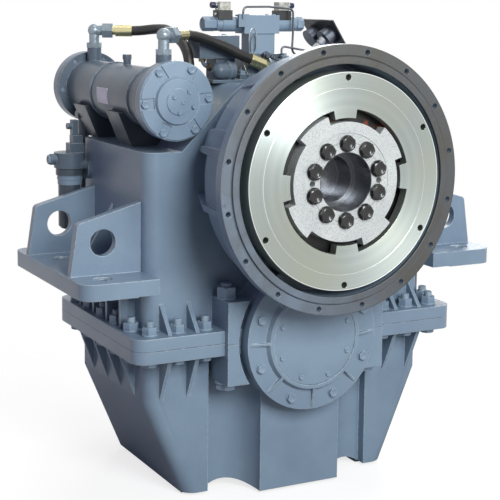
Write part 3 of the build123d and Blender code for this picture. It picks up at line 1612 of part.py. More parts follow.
def ferrule(point, toward):
    """A crimped ferrule over a hose end, and the stem that screws into its fitting."""
    start = Vector(*point)
    heading = (Vector(*toward) - start).normalized()
    plane = Plane(origin=start, z_dir=heading)
    sleeve = extrude(plane * (Circle(ferrule_radius) - Circle(hose_radius + bolt_gap)), amount=ferrule_length)
    stem_end = Plane(origin=start - heading * stem_length, z_dir=heading)
    cap = Plane(origin=start - heading * ferrule_rim, z_dir=heading)
    stem = extrude(stem_end * Circle(stem_radius), amount=stem_length)
    return sleeve + stem + extrude(cap * Circle(ferrule_radius), amount=ferrule_rim)


def hose_ferrules():
    """Crimped ends of both hoses."""
    ends = []
    for points in (front_hose_points, rear_hose_points):
        ends.append(ferrule(points[0], points[1]))
        ends.append(ferrule(points[-1], points[-2]))
    return group(ends)


def hose_adaptor(points):
    """The hexagon adaptor that a hose's lower end screws into, before it is cut to its seat."""
    end = Vector(*points[-1])
    heading = (end - Vector(*points[-2])).normalized()
    face = Plane(origin=end + heading * stem_length, z_dir=heading)
    nut = extrude(face * RegularPolygon(fitting_flats / 2, 6, major_radius=False), amount=fitting_width)
    return nut + extrude(face * Circle(elbow_tube_radius), amount=adaptor_length)


# Control valve on the roof

def valve_base():
    """The foot of the control valve: a flanged block on the roof."""
    base = block(base_left, base_right, valve_y - base_plate_half, valve_y + base_plate_half,
                 roof_top, roof_top + base_plate)
    base += block(valve_lower_left - base_margin, valve_lower_right + base_margin, valve_y - base_half,
                  valve_y + base_half, roof_top + base_plate - 1, valve_lower_bottom)
    port = block(port_left, port_right, port_front, valve_y - base_half + 1, roof_top, port_top)
    return base + fillet(port.edges().filter_by(Axis.Z).group_by(Axis.Y)[0], base_margin / 2)


def valve_body():
    """The valve block with a cylinder at each side and the bore for the spool."""
    body = block(valve_left, valve_right, valve_y - valve_half_depth, valve_y + valve_half_depth,
                 valve_bottom, valve_top)
    body += block(valve_lower_left, valve_lower_right, valve_y - valve_lower_half_depth,
                  valve_y + valve_lower_half_depth, valve_lower_bottom, valve_bottom + 1)
    body += rod_x(valve_cylinder_radius, valve_left_end, valve_right_end, valve_y, valve_axis_z)
    return body - rod_x(spool_radius + running_gap, valve_left_end - 1, valve_right_end + 1, valve_y,
                        valve_axis_z)


def valve_end_caps():
    """Two screwed caps that close the ends of the spool bore."""
    left_step = valve_left_end - cap_ring_length
    right_step = valve_right_end + cap_ring_length / 2
    left = rod_x(valve_cylinder_radius - 2, left_step, valve_left_end, valve_y, valve_axis_z)
    left += hexagon_x(valve_cap_flats, valve_left_cap_end, left_step + 1, valve_y, valve_axis_z)
    right = rod_x(valve_cylinder_radius - 4, valve_right_end, right_step, valve_y, valve_axis_z)
    right += hexagon_x(valve_cap_flats, right_step - 1, valve_right_cap_end, valve_y, valve_axis_z)
    return group([left, right])


def valve_spool():
    """The sliding spool: four lands on a thin stem."""
    spool = rod_x(spool_neck_radius, -spool_half_length, spool_half_length, valve_y, valve_axis_z)
    for place in spool_land_places:
        spool += rod_x(spool_radius, place, place + spool_land, valve_y, valve_axis_z)
    return spool


def solenoid_coils():
    """Black coil bodies on top of the two cylinders."""
    seat = valve_axis_z + valve_cylinder_radius
    coils = []
    for place in (coil_left, coil_right):
        coil = block(place - coil_width / 2, place + coil_width / 2, valve_y - coil_depth / 2,
                     valve_y + coil_depth / 2, seat - coil_overlap, seat + coil_height)
        coils.append(coil - rod_x(valve_cylinder_radius + fit_gap, -200, 200, valve_y, valve_axis_z))
    return group(coils)


def coil_connectors():
    """Clear plugs with a cable gland, one on each coil."""
    seat = valve_axis_z + valve_cylinder_radius + coil_height
    plugs = []
    for place, side in ((coil_left, -1), (coil_right, 1)):
        plug = block(place - connector_width / 2, place + connector_width / 2, valve_y - connector_depth / 2,
                     valve_y + connector_depth / 2, seat, seat + connector_height)
        end = place + side * connector_width / 2
        plug += rod_x(gland_radius, end - side, end + side * gland_length, valve_y,
                      seat + connector_height - gland_radius - 1)
        plugs.append(plug)
    return group(plugs)


def relief_block():
    """The pressure control block beside the valve: an upper block, a column and a round-nosed valve."""
    middle = (relief_front + relief_rear) / 2
    foot_top_z = roof_top + relief_foot
    body = block(relief_left, relief_right, relief_front, relief_rear, relief_step, relief_top)
    body += block(relief_column_left, relief_column_right, relief_column_front, relief_rear,
                  roof_top, relief_step + 1)
    body += block(relief_foot_left, relief_foot_right, relief_foot_front, relief_rear, roof_top, foot_top_z)
    nose_z = foot_top_z + nose_radius
    body += rod_x(nose_radius, nose_left, nose_right, nose_y, nose_z)
    body += Pos(nose_left, nose_y, nose_z) * Sphere(nose_radius)
    body += rod_x(nose_radius + nose_collar, nose_collar_from, nose_collar_to, nose_y, nose_z)
    return body + rod_z(relief_pipe_radius, nose_z, relief_step + 1, relief_pipe_x, middle)


pilot_pipe_points = [
    (-62.0, 458.0, 412.0), (-62.0, 458.0, 445.0), (20.0, 458.0, 446.0), (100.0, 458.0, 440.0),
    (101.0, 458.0, 380.0), (98.0, 458.0, 320.0), (118.0, 458.0, 300.0),
]
pilot_pipe_bends = [14, 14, 14, 20, 20]
pipe_block = 24.0
pipe_gap = 0.3
pipe_nut_flats = 16.0
pipe_nut_height = 14.0
union_flats = 18.0
gauge_pipe_points = [
    (58.0, 448.0, 304.0), (58.0, 448.0, 334.0), (104.0, 442.0, 326.0), (150.0, 430.0, 318.0),
    (168.9, 414.0, 346.2),
]
gauge_pipe_bends = [10, 30, 16]


def pipe_along(points, bends, radius):
    """A thin pipe of straight runs and bends."""
    route = FilletPolyline(*points, radius=bends)
    section = Plane(origin=route @ 0, z_dir=route % 0) * Circle(radius)
    return sweep(section, path=route)


def steel_pipes():
    """The thin pilot pipe over the valve and the gauge's pressure pipe, with their fittings."""
    pilot = pipe_along(pilot_pipe_points, pilot_pipe_bends, pipe_radius)
    gauge = pipe_along(gauge_pipe_points, gauge_pipe_bends, pipe_radius)
    half = pipe_block / 2
    foot_x, foot_y, foot_z = pilot_pipe_points[-1]
    pilot_foot = block(foot_x - half, foot_x + half, foot_y - half, foot_y + half, roof_top, foot_z)
    head_x, head_y, head_z = pilot_pipe_points[0]
    pilot_head = block(head_x - half, head_x + half, head_y + pipe_radius + pipe_gap,
                       valve_y - valve_half_depth, head_z - pipe_block, head_z + half)
    nut_x, nut_y, nut_z = gauge_pipe_points[0]
    gauge_foot = hexagon_z(pipe_nut_flats, nut_z - pipe_nut_height, nut_z, nut_x, nut_y)
    gauge_foot += rod_y(2 * pipe_radius, nut_y, valve_y - valve_lower_half_depth, nut_x,
                        nut_z - pipe_nut_height / 2)
    gauge_foot -= valve_base()
    union = panel_plane(*gauge_places[1], -gauge_depth - gauge_back_distance)
    nut = extrude(union * RegularPolygon(union_flats / 2, 6, major_radius=False), amount=gauge_back_distance)
    return group([pilot + pilot_foot, gauge - nut, pilot_head, gauge_foot - gauge, nut])


# Gauge panel

def panel_plane(u=0.0, v=0.0, lift=0.0):
    """The panel's own plane: u along its upper edge, v down its slope, lift off its face."""
    turn = math.radians(panel_turn)
    slope = math.radians(panel_slope)
    along = Vector(math.cos(turn), math.sin(turn), 0)
    level = Vector(-math.sin(turn), math.cos(turn), 0)
    down = level * math.cos(slope) - Vector(0, 0, 1) * math.sin(slope)
    out = down.cross(along) * -1
    origin = Vector(*panel_corner) + along * u + down * v + out * lift
    return Plane(origin=origin, x_dir=along, z_dir=out)


def gauge_panel():
    """The sloping plate that carries the gauges, on a post."""
    centre = panel_plane(panel_width / 2, panel_length / 2)
    panel = extrude(centre * Rectangle(panel_width, panel_length), amount=panel_thickness)
    for u, v in gauge_places:
        panel -= extrude(panel_plane(u, v, -1) * Circle(gauge_radius + bolt_gap), amount=panel_thickness + 2)
    foot_point = panel_plane(panel_width / 2, panel_length - 2 * post_radius).origin
    post = rod_z(post_radius, shoulder_top, foot_point.Z + 1, foot_point.X, foot_point.Y)
    foot_plate = rod_z(3 * post_radius, shoulder_top, foot_point.Z, foot_point.X, foot_point.Y)
    tower = plate_y(casing_section(), casing_front, casing_rear)
    skin = plate_y(casing_section(-post_radius), casing_front, casing_rear)
    return panel + (post - tower) + ((foot_plate & skin) - tower)


def gauge_cans():
    """Two round gauges, each a can with a rim, a dial and a pin for the needle."""
    cans = []
    for u, v in gauge_places:
        depth = gauge_depth + panel_thickness + gauge_front
        can = extrude(panel_plane(u, v, -gauge_depth) * Circle(gauge_radius), amount=depth)
        collar = Circle(gauge_radius + gauge_rim)
        rim = extrude(panel_plane(u, v, panel_thickness) * collar, amount=gauge_front)
        well = extrude(panel_plane(u, v, dial_level) * Circle(gauge_radius - 2), amount=depth)
        pin = extrude(panel_plane(u, v, dial_level - 1) * Circle(needle_pin), amount=5)
        cans.append(can + rim - well + pin)
    return group(cans)


def gauge_glasses():
    """The clear discs in front of the dials."""
    return group([
        extrude(panel_plane(u, v, panel_thickness + 3) * Circle(gauge_radius - 2 - fit_gap), amount=2)
        for u, v in gauge_places
    ])


def needle(number):
    """A gauge needle on its pin."""
    u, v = gauge_places[number]
    outline = polygon([(-1.2, -5), (1.2, -5), (0.5, needle_length), (-0.5, needle_length)]) + Circle(3.2)
    outline -= Circle(needle_pin + running_gap)
    return extrude(panel_plane(u, v, dial_level + 1.5) * outline, amount=1)


# Filter and dipstick

def filter_head():
    """The oil filter's head on a short pipe from the casing, with its indicator on top."""
    head = rod_z(filter_head_radius, filter_head_bottom, filter_head_top, filter_x, filter_y)
    head += rod_x(filter_plug_radius, filter_x - filter_head_radius - filter_plug_length, filter_x,
                  filter_y, filter_plug_height)
    pipe_y = filter_y - filter_pipe_offset
    head += rod_x(filter_pipe_radius, filter_x, -half_width - filter_boss_length, pipe_y, filter_pipe_height)
    head += rod_x(filter_boss_radius, -half_width - filter_boss_length, -half_width, pipe_y,
                  filter_pipe_height - filter_pipe_radius)
    bottom = filter_head_top
    for x_from, x_to, half_depth, top in indicator_steps:
        head += block(filter_x + x_from, filter_x + x_to, filter_y - indicator_offset - half_depth,
                      filter_y - indicator_offset + half_depth, bottom - 1, top)
        bottom = top
    head += rod_x(indicator_plug_radius, filter_x - indicator_plug_radius, filter_x + indicator_plug_radius,
                  filter_y - indicator_offset, bottom - 2 * indicator_plug_radius)
    return head - filter_bowl()


def filter_bowl():
    """The long bowl under the filter's head."""
    bowl = rod_z(filter_bowl_radius, filter_bowl_bottom, filter_head_bottom, filter_x, filter_y)
    bowl = chamfer(bowl.edges().group_by(Axis.Z)[0], filter_bowl_chamfer)
    return bowl + rod_z(filter_collar_radius, filter_collar_bottom, filter_head_bottom, filter_x, filter_y)


def dipstick_tube():
    """The dipstick's guide tube on the right shoulder."""
    tube = rod_z(dipstick_tube_radius, shoulder_top, dipstick_tube_top, dipstick_x, dipstick_y)
    tube += hexagon_z(dipstick_nut_flats, shoulder_top, shoulder_top + dipstick_nut_height,
                      dipstick_x, dipstick_y)
    return tube - rod_z(dipstick_radius + dipstick_play, shoulder_top - 1, dipstick_tube_top + 1,
                        dipstick_x, dipstick_y)


def dipstick():
    """The oil dipstick with its cap and pull ring."""
    stick = rod_z(dipstick_radius, dipstick_bottom, dipstick_tube_top, dipstick_x, dipstick_y)
    cap_top = dipstick_tube_top + dipstick_cap_height
    stick += rod_z(dipstick_tube_radius + dipstick_radius, dipstick_tube_top, cap_top, dipstick_x, dipstick_y)
    ring = Rot(90, 0, 0) * Torus(dipstick_ring_radius, dipstick_ring_wire)
    loop = Pos(dipstick_x, dipstick_y, cap_top + dipstick_ring_radius - 1) * ring
    return stick + loop


parts = {
    "upper_casing": upper_casing,
    "lower_casing": lower_casing,
    "bell_housing": bell_housing,
    "mounting_feet": mounting_feet,
    "casing_bolts": casing_bolts,
    "casing_nuts": casing_nuts,
    "cover_bolts": cover_bolt_group,
    "output_front_cover": output_front_cover,
    "output_cover_plate": output_cover_plate,
    "output_rear_cover": output_rear_cover,
    "shaft_seals": shaft_seals,
    "shaft_covers": shaft_covers,
    "bearing_outer_rings": bearing_outer_rings,
    "drive_ring": drive_ring,
    "hub_spider": hub_spider,
    "coupling_rubber": coupling_rubber,
    "hub_bolts": hub_bolt_group,
    "input_shaft": input_shaft,
    "input_inner_rings": lambda: group(input_front_bearing[1] + input_rear_bearing[1]),
    "ahead_clutch_drum": lambda: clutch_drum(0.0),
    "ahead_steel_plates": lambda: group(steel_plates()),
    "ahead_piston": clutch_piston,
    "ahead_pinion": lambda: pinion(ahead_turn),
    "ahead_friction_plates": friction_plates,
    "reverse_shaft": reverse_shaft,
    "reverse_inner_rings": lambda: group(reverse_front_bearing[1] + reverse_rear_bearing[1]),
    "astern_clutch_drum": lambda: clutch_drum(transfer_turn, reverse_x, reverse_z),
    "astern_steel_plates": lambda: group(steel_plates(reverse_x, reverse_z)),
    "astern_piston": lambda: clutch_piston(reverse_x, reverse_z),
    "astern_pinion": lambda: pinion(astern_turn, reverse_x, reverse_z),
    "astern_friction_plates": lambda: friction_plates(reverse_x, reverse_z),
    "output_shaft": output_shaft,
    "output_gear": output_gear,
    "output_inner_rings": lambda: group(output_front_bearing[1] + output_rear_bearing[1]),
    "output_flange": output_flange,
    "oil_pump_housing": oil_pump_housing,
    "pump_idler_gear": pump_idler_gear,
    "cooler_shell": cooler_shell,
    "cooler_caps": cooler_caps,
    "cooler_saddles": cooler_saddles,
    "cooler_fittings": cooler_fittings,
    "hoses": hoses,
    "hose_ferrules": hose_ferrules,
    "valve_base": valve_base,
    "valve_body": valve_body,
    "valve_end_caps": valve_end_caps,
    "valve_spool": valve_spool,
    "solenoid_coils": solenoid_coils,
    "coil_connectors": coil_connectors,
    "relief_block": relief_block,
    "steel_pipes": steel_pipes,
    "gauge_panel": gauge_panel,
    "gauge_cans": gauge_cans,
    "gauge_glasses": gauge_glasses,
    "pressure_needle": lambda: needle(0),
    "temperature_needle": lambda: needle(1),
    "filter_head": filter_head,
    "filter_bowl": filter_bowl,
    "dipstick_tube": dipstick_tube,
    "dipstick": dipstick,
}

os.makedirs("parts", exist_ok=True)
for node, make in parts.items():
    export_step(make(), "parts/" + node + ".step")
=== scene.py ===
# %% [markdown]
# This lesson dresses a marine gearbox. Its castings, shafts and covers arrive as solid
# models that already have their real sizes and places. They stay where they are, and
# each gets the finish of the real thing. Small things that a solid model leaves plain,
# such as chamfered nuts, threads, washers, rivets and wires, are built here as meshes.
# Blender counts in metres, and -Y is the side where the engine bolts on. Places on the
# gearbox are given in millimetres, as a drawing would give them.

# %% Load the gearbox
import json
import math

import bmesh
import bpy
from mathutils import Matrix, Vector

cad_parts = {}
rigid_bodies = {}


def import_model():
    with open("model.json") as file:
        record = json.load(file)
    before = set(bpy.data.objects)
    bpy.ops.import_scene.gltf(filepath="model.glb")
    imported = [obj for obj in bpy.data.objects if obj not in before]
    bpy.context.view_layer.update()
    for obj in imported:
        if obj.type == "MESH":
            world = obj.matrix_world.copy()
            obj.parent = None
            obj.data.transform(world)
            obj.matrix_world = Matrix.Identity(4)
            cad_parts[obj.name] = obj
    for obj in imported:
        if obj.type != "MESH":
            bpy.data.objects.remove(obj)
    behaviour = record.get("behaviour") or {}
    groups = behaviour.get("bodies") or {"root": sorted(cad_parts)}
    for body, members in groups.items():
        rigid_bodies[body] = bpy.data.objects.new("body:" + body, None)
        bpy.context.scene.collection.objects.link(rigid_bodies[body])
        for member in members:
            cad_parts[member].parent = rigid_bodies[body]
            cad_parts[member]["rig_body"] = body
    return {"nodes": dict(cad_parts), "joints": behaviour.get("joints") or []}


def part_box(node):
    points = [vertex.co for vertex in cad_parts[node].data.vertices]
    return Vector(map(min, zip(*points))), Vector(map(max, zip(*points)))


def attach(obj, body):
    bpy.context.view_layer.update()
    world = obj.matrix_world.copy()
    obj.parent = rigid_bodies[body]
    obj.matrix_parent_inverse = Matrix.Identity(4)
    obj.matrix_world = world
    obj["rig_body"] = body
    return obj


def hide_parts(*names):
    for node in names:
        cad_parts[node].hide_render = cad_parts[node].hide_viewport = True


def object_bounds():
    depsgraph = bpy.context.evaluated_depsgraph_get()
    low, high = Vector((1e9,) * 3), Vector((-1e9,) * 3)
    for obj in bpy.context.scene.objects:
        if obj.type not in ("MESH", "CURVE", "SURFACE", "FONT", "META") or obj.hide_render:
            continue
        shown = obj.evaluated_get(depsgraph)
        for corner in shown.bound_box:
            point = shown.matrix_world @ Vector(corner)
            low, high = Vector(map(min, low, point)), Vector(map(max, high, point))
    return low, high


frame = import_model()
nodes = frame["nodes"]
cad_low, cad_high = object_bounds()
MM = 0.001
print("gearbox loaded:", len(nodes), "parts,", [round(v, 3) for v in cad_high - cad_low], "m")

# %% [markdown]
# The camera stands where the photographer stood: in front, to the left of the engine
# side and a little above the input shaft. A long lens keeps the big flywheel ring
# almost round. The direction, roll and lens come from fitting the bolt circle and the
# flange corners, so they are stated as they were found.

# %% Camera
CAMERA_PLACE = Vector((-1.80483, -2.93324, 0.46519))
CAMERA_AIM = Vector((0.4647, 0.8754, -0.1328))
CAMERA_ROLL = math.radians(0.7)

camera_data = bpy.data.cameras.new("photo_camera")
camera_data.lens = 96.12
camera_data.sensor_width = 36.0
camera_data.shift_x = -0.0182
camera_data.shift_y = -0.1426
camera_data.clip_start = 0.1
camera_data.clip_end = 60.0
camera = bpy.data.objects.new("photo_camera", camera_data)
bpy.context.scene.collection.objects.link(camera)
bpy.context.scene.camera = camera

forward = CAMERA_AIM.normalized()
level_right = forward.cross(Vector((0, 0, 1))).normalized()
level_up = level_right.cross(forward)
camera_right = level_right * math.cos(CAMERA_ROLL) + level_up * math.sin(CAMERA_ROLL)
camera_up = camera_right.cross(forward)
turn = Matrix((camera_right, camera_up, -forward)).transposed().to_4x4()
camera.matrix_world = Matrix.Translation(CAMERA_PLACE) @ turn
print("camera looks along", [round(v, 3) for v in forward])

# %% [markdown]
# Blender's shaders count in linear light, while a colour is picked as it looks on a
# screen. Each colour here is written as it looks, and turned into the linear one.

# %% Colours
def linear(red, green, blue):
    """The scene-linear colour of one that is given as it looks on a screen."""
    parts = [((v + 0.055) / 1.055) ** 2.4 if v > 0.04045 else v / 12.92 for v in (red, green, blue)]
    return (*parts, 1.0)


def shaded(colour, share):
    """A colour with each part multiplied by a share, but never brighter than white."""
    return linear(*(min(1.0, part * share) for part in colour))


print("mid grey is", round(linear(0.5, 0.5, 0.5)[0], 3), "in linear light")

# %% [markdown]
# A finish is a small set of shader nodes. All finishes here read the position in the
# gearbox itself, in metres, so that a casting's skin has the same grain everywhere and
# nothing needs unwrapping. These helpers keep the node code short: each adds one or two
# nodes and gives back the socket that the next one reads.

# %% Helpers for finishes
class Finish:
    """A material with its surface shader, and short ways to add nodes to it."""

    def __init__(self, name, colour, metallic, roughness):
        self.material = bpy.data.materials.new(name)
        self.material.use_nodes = True
        self.tree = self.material.node_tree
        self.surface = self.tree.nodes["Principled BSDF"]
        self.give("Base Color", linear(*colour))
        self.give("Metallic", metallic)
        self.give("Roughness", roughness)
        self.place = self.add("ShaderNodeTexCoord").outputs["Object"]

    def give(self, socket, value):
        """Writes a fixed value on the surface shader."""
        self.surface.inputs[socket].default_value = value

    def set(self, socket, value):
        """Links another node's socket to the surface shader."""
        self.tree.links.new(value, self.surface.inputs[socket])

    def fill(self, socket, value):
        """Links a socket, or writes a plain value."""
        if isinstance(value, bpy.types.NodeSocket):
            self.tree.links.new(value, socket)
        else:
            socket.default_value = value

    def add(self, kind, inputs=None, **settings):
        """Adds a node with its settings and its inputs."""
        node = self.tree.nodes.new(kind)
        for key, value in settings.items():
            setattr(node, key, value)
        for key, value in (inputs or {}).items():
            self.fill(node.inputs[key], value)
        return node

    def math(self, operation, first, second=0.0):
        return self.add("ShaderNodeMath", {0: first, 1: second}, operation=operation).outputs[0]

    def vector(self, operation, first, second=(0.0, 0.0, 0.0)):
        return self.add("ShaderNodeVectorMath", {0: first, 1: second}, operation=operation)

    def along(self, axis):
        """The position along X, Y or Z, in metres."""
        return self.add("ShaderNodeSeparateXYZ", {0: self.place}).outputs[axis]

    def grain(self, scale, detail=3.0, rough=0.55):
        """Noise in space, from about 0.3 to 0.7."""
        inputs = {"Vector": self.place, "Scale": scale, "Detail": detail, "Roughness": rough}
        return self.add("ShaderNodeTexNoise", inputs).outputs["Fac"]

    def spread(self, value, low, high, to_low=0.0, to_high=1.0):
        """Stretches the range from low to high over another range."""
        inputs = {0: value, 1: low, 2: high, 3: to_low, 4: to_high}
        return self.add("ShaderNodeMapRange", inputs).outputs[0]

    def blend(self, share, first, second):
        """The first colour where the share is 0, the second where it is 1."""
        node = self.add("ShaderNodeMix", data_type="RGBA")
        for number, value in ((0, share), (6, first), (7, second)):
            self.fill(node.inputs[number], value)
        return node.outputs[2]

    def patches(self, first, second, scale, detail=3.0, low=0.35, high=0.65):
        """Two colours in soft patches."""
        return self.blend(self.spread(self.grain(scale, detail), low, high), first, second)

    def bump(self, height, depth, below=None):
        """A relief of a given depth in metres, on top of another one where there is one."""
        inputs = {"Height": height, "Strength": 1.0, "Distance": depth}
        if below is not None:
            inputs["Normal"] = below
        return self.add("ShaderNodeBump", inputs).outputs["Normal"]

    def soft_edges(self, radius):
        """The surface direction with every edge rounded, without any extra mesh."""
        return self.add("ShaderNodeBevel", {"Radius": radius}, samples=6).outputs[0]


print("helpers ready")

# %% [markdown]
# Marine gearboxes are sprayed in grey-blue enamel over rough castings. The paint is
# glossy, but the sand-cast skin below shows through as a fine pebble grain. Along sharp
# edges the colour turns pale: partly paint rubbed thin, and partly a painted highlight
# where the edges would catch the light. This could be painted by hand on an unwrapped
# mesh. Here a bevel node rounds the edges instead, and the difference between the
# rounded and the true surface direction tells where an edge is, so the pale edges
# follow by themselves.

# %% Grey-blue enamel
ENAMEL = (0.505, 0.584, 0.660)
ENAMEL_DARK = (0.460, 0.532, 0.615)
EDGE_PALE = (0.78, 0.84, 0.87)
EDGE_WEAR_AND_HIGHLIGHT = 0.80


def enamel(name, skin=0.00055, edge=0.0042, tone=1.0):
    """Enamel over a skin of a given depth. A tone below 1 darkens it as painted shade, for pieces that lie in
    shade.
    """
    paint = Finish(name, ENAMEL, 0.0, 0.36)
    colour = paint.patches(shaded(ENAMEL_DARK, tone), shaded(ENAMEL, tone), 4.5, 5.0)
    rounded = paint.soft_edges(edge)
    true_normal = paint.add("ShaderNodeNewGeometry").outputs["Normal"]
    same = paint.vector("DOT_PRODUCT", rounded, true_normal).outputs["Value"]
    at_edge = paint.spread(same, 0.99, 0.85)
    # Pale edges: partly paint rubbed thin, partly a painted highlight where edges catch the light.
    edge_wear_and_highlight = paint.math("MULTIPLY", at_edge, paint.spread(paint.grain(90.0), 0.30, 0.55))
    colour = paint.blend(paint.math("MULTIPLY", edge_wear_and_highlight, EDGE_WEAR_AND_HIGHLIGHT), colour, linear(*EDGE_PALE))
    paint.set("Base Color", colour)
    paint.set("Roughness", paint.spread(paint.grain(9.0), 0.3, 0.7, 0.30, 0.44))
    coarse = paint.bump(paint.grain(190.0, 4.0, 0.6), skin, rounded)
    paint.set("Normal", paint.bump(paint.grain(1100.0, 2.0), skin * 0.12, coarse))
    paint.give("Specular IOR Level", 0.32)
    paint.give("Coat Weight", 0.14)
    paint.give("Coat Roughness", 0.2)
    return paint


casting_paint = enamel("casting_enamel").material
smooth_paint = enamel("sheet_enamel", skin=0.00010, edge=0.0016, tone=1.03).material
# The shell enamel and the bracket enamel carry painted shade: their colour is darkened to 73 and 54 percent
# of the plain enamel.
painted_shade_enamel = enamel("shell_enamel_painted_shade", skin=0.00014, edge=0.0020, tone=0.73).material
deep_painted_shade_enamel = enamel("bracket_enamel_deep_painted_shade", skin=0.00030, edge=0.0020, tone=0.54).material
print("enamel ready: cast, smooth, dark and shade")

# %% [markdown]
# The two casing halves meet on a plane through the output shaft. Liquid gasket squeezes
# out there and leaves a thin dark line all round. It could be a thin strip of mesh, but
# it is part of the paint here: where the surface lies within a millimetre of that
# plane, the enamel turns dark, and a little noise makes the line's width waver.

# %% Casing enamel with its joint line
JOINT_Z = -0.450
JOINT_DARK = (0.33, 0.37, 0.43)

casing = enamel("casing_halves_enamel")
from_joint = casing.math("ABSOLUTE", casing.math("SUBTRACT", casing.along("Z"), JOINT_Z))
half_width = casing.spread(casing.grain(40.0), 0.3, 0.7, 0.0003, 0.0010)
in_joint = casing.math("LESS_THAN", from_joint, half_width)
enamelled = casing.surface.inputs["Base Color"].links[0].from_socket
casing.set("Base Color", casing.blend(in_joint, enamelled, linear(*JOINT_DARK)))
print("joint line at z =", JOINT_Z, "m")

# %% [markdown]
# Everything that was turned on a lathe carries fine rings. The distance from the input
# axis is the length of the position with its Y part taken away, and noise that reads
# only that distance comes out as rings.

# %% Rings from the lathe
def turning_radius(finish):
    """The distance from the input axis, in metres."""
    across = finish.vector("MULTIPLY", finish.place, (1.0, 0.0, 1.0)).outputs[0]
    return finish.vector("LENGTH", across).outputs["Value"]


def lathe_rings(finish, radius, scale, detail=2.0):
    """Noise that changes only with the radius."""
    inputs = {"W": radius, "Scale": scale, "Detail": detail}
    return finish.add("ShaderNodeTexNoise", inputs, noise_dimensions="1D").outputs["Fac"]


print("lathe rings ready")

# %% [markdown]
# The flywheel housing is painted too, but its front ring is machined to bolt against
# the engine and stays bare. The bare face is told from the painted rest by its place:
# all that lies in front of a plane 3 mm behind the bolting face is steel. Rust-proof
# oil gives it slightly brown clouds, its lower left turns lighter and bluer in patches,
# and handling left dark scuffs.

# %% Painted housing with a bare machined face
BARE_DEPTH = 0.003
FACE_PITCH = 0.0011

housing = enamel("housing_enamel")
is_bare = housing.math("LESS_THAN", housing.along("Y"), BARE_DEPTH)
face_rings = lathe_rings(housing, turning_radius(housing), 1.0 / FACE_PITCH)
bare = housing.patches(linear(0.305, 0.315, 0.33), linear(0.29, 0.275, 0.245), 7.0, 4.0, 0.40, 0.62)
bare = housing.blend(housing.spread(face_rings, 0.40, 0.62), bare, linear(0.36, 0.365, 0.37))
# The bare face turns lighter and bluer towards its lower left, in patches.
lower_left = housing.vector("DOT_PRODUCT", housing.place, (-0.75, 0.0, -0.66)).outputs["Value"]
blue_patches = housing.spread(housing.grain(11.0, 4.0), 0.30, 0.62, 0.35, 0.95)
bluer_lower_left = housing.math("MULTIPLY", housing.spread(lower_left, 0.02, 0.30), blue_patches)
bare = housing.blend(bluer_lower_left, bare, linear(0.43, 0.48, 0.54))
scuffs = housing.spread(housing.grain(60.0, 6.0, 0.7), 0.58, 0.70)
bare = housing.blend(housing.math("MULTIPLY", scuffs, 0.6), bare, linear(0.24, 0.24, 0.24))
painted = housing.surface.inputs["Base Color"].links[0].from_socket
housing.set("Base Color", housing.blend(is_bare, painted, bare))
housing.set("Metallic", housing.math("MULTIPLY", is_bare, 0.4))
print("bell face split at y =", BARE_DEPTH, "m")

# %% [markdown]
# The coupling's drive ring is turned all over and left bright. Turned metal throws
# bow-tie highlights, because its tiny grooves run round the axis and spread light
# across them. Anisotropy does that: its tangent circles the axis, and a quarter turn
# points the spread outward. Very shallow rings break the highlight up, and two bright
# lines are painted highlights, where shallow steps would catch the light.

# %% Turned bright steel
STEP_HIGHLIGHT_RADII = (0.2440, 0.2843)
LINE_HALF_WIDTH = 0.0008
TURNED_PITCH = 0.0009
GROOVE_DEPTH = 0.000006


def turned_steel(name, colour, roughness, highlight_radii=()):
    """Bright steel that was turned round the Y axis."""
    steel = Finish(name, colour, 1.0, roughness)
    radius = turning_radius(steel)
    grooves = lathe_rings(steel, radius, 1.0 / TURNED_PITCH)
    broad = lathe_rings(steel, radius, 70.0, 3.0)
    tone = steel.blend(steel.spread(broad, 0.3, 0.7), shaded(colour, 0.955), linear(*colour))
    warm = linear(colour[0], colour[1] * 0.985, colour[2] * 0.93)
    tone = steel.blend(steel.spread(steel.grain(3.2), 0.46, 0.66), tone, warm)
    # Two near-white rings are painted highlights of shallow steps on the face.
    for line in highlight_radii:
        offset = steel.math("ABSOLUTE", steel.math("SUBTRACT", radius, line))
        tone = steel.blend(steel.math("LESS_THAN", offset, LINE_HALF_WIDTH), tone, linear(0.93, 0.94, 0.93))
    steel.set("Base Color", tone)
    steel.set("Roughness", steel.spread(grooves, 0.3, 0.7, roughness - 0.02, roughness + 0.03))
    steel.set("Normal", steel.bump(grooves, GROOVE_DEPTH, steel.soft_edges(0.0012)))
    steel.give("Anisotropic", 0.75)
    steel.give("Anisotropic Rotation", 0.25)
    steel.set("Tangent", steel.add("ShaderNodeTangent", direction_type="RADIAL", axis="Y").outputs[0])
    return steel.material


ring_steel = turned_steel("turned_ring_steel", (0.67, 0.70, 0.69), 0.31, STEP_HIGHLIGHT_RADII)
shaft_steel = turned_steel("turned_shaft_steel", (0.46, 0.47, 0.49), 0.26)
flange_steel = turned_steel("turned_flange_steel", (0.64, 0.65, 0.65), 0.34)
print("turned steel ready")

# %% [markdown]
# The hub star is a fine sand casting, pale grey with a tight speckle of darker pores.
# A cell texture gives round pores of differing size. Only the middle of each cell turns
# dark, so the speckle stays fine. A thin turned register line runs round the bolts, and
# the bore is machined bright, which the distance from the axis tells.

# %% Speckled hub casting
BORE_RADIUS = 0.0786
REGISTER_RADIUS = 0.1035
REGISTER_HALF_WIDTH = 0.0007

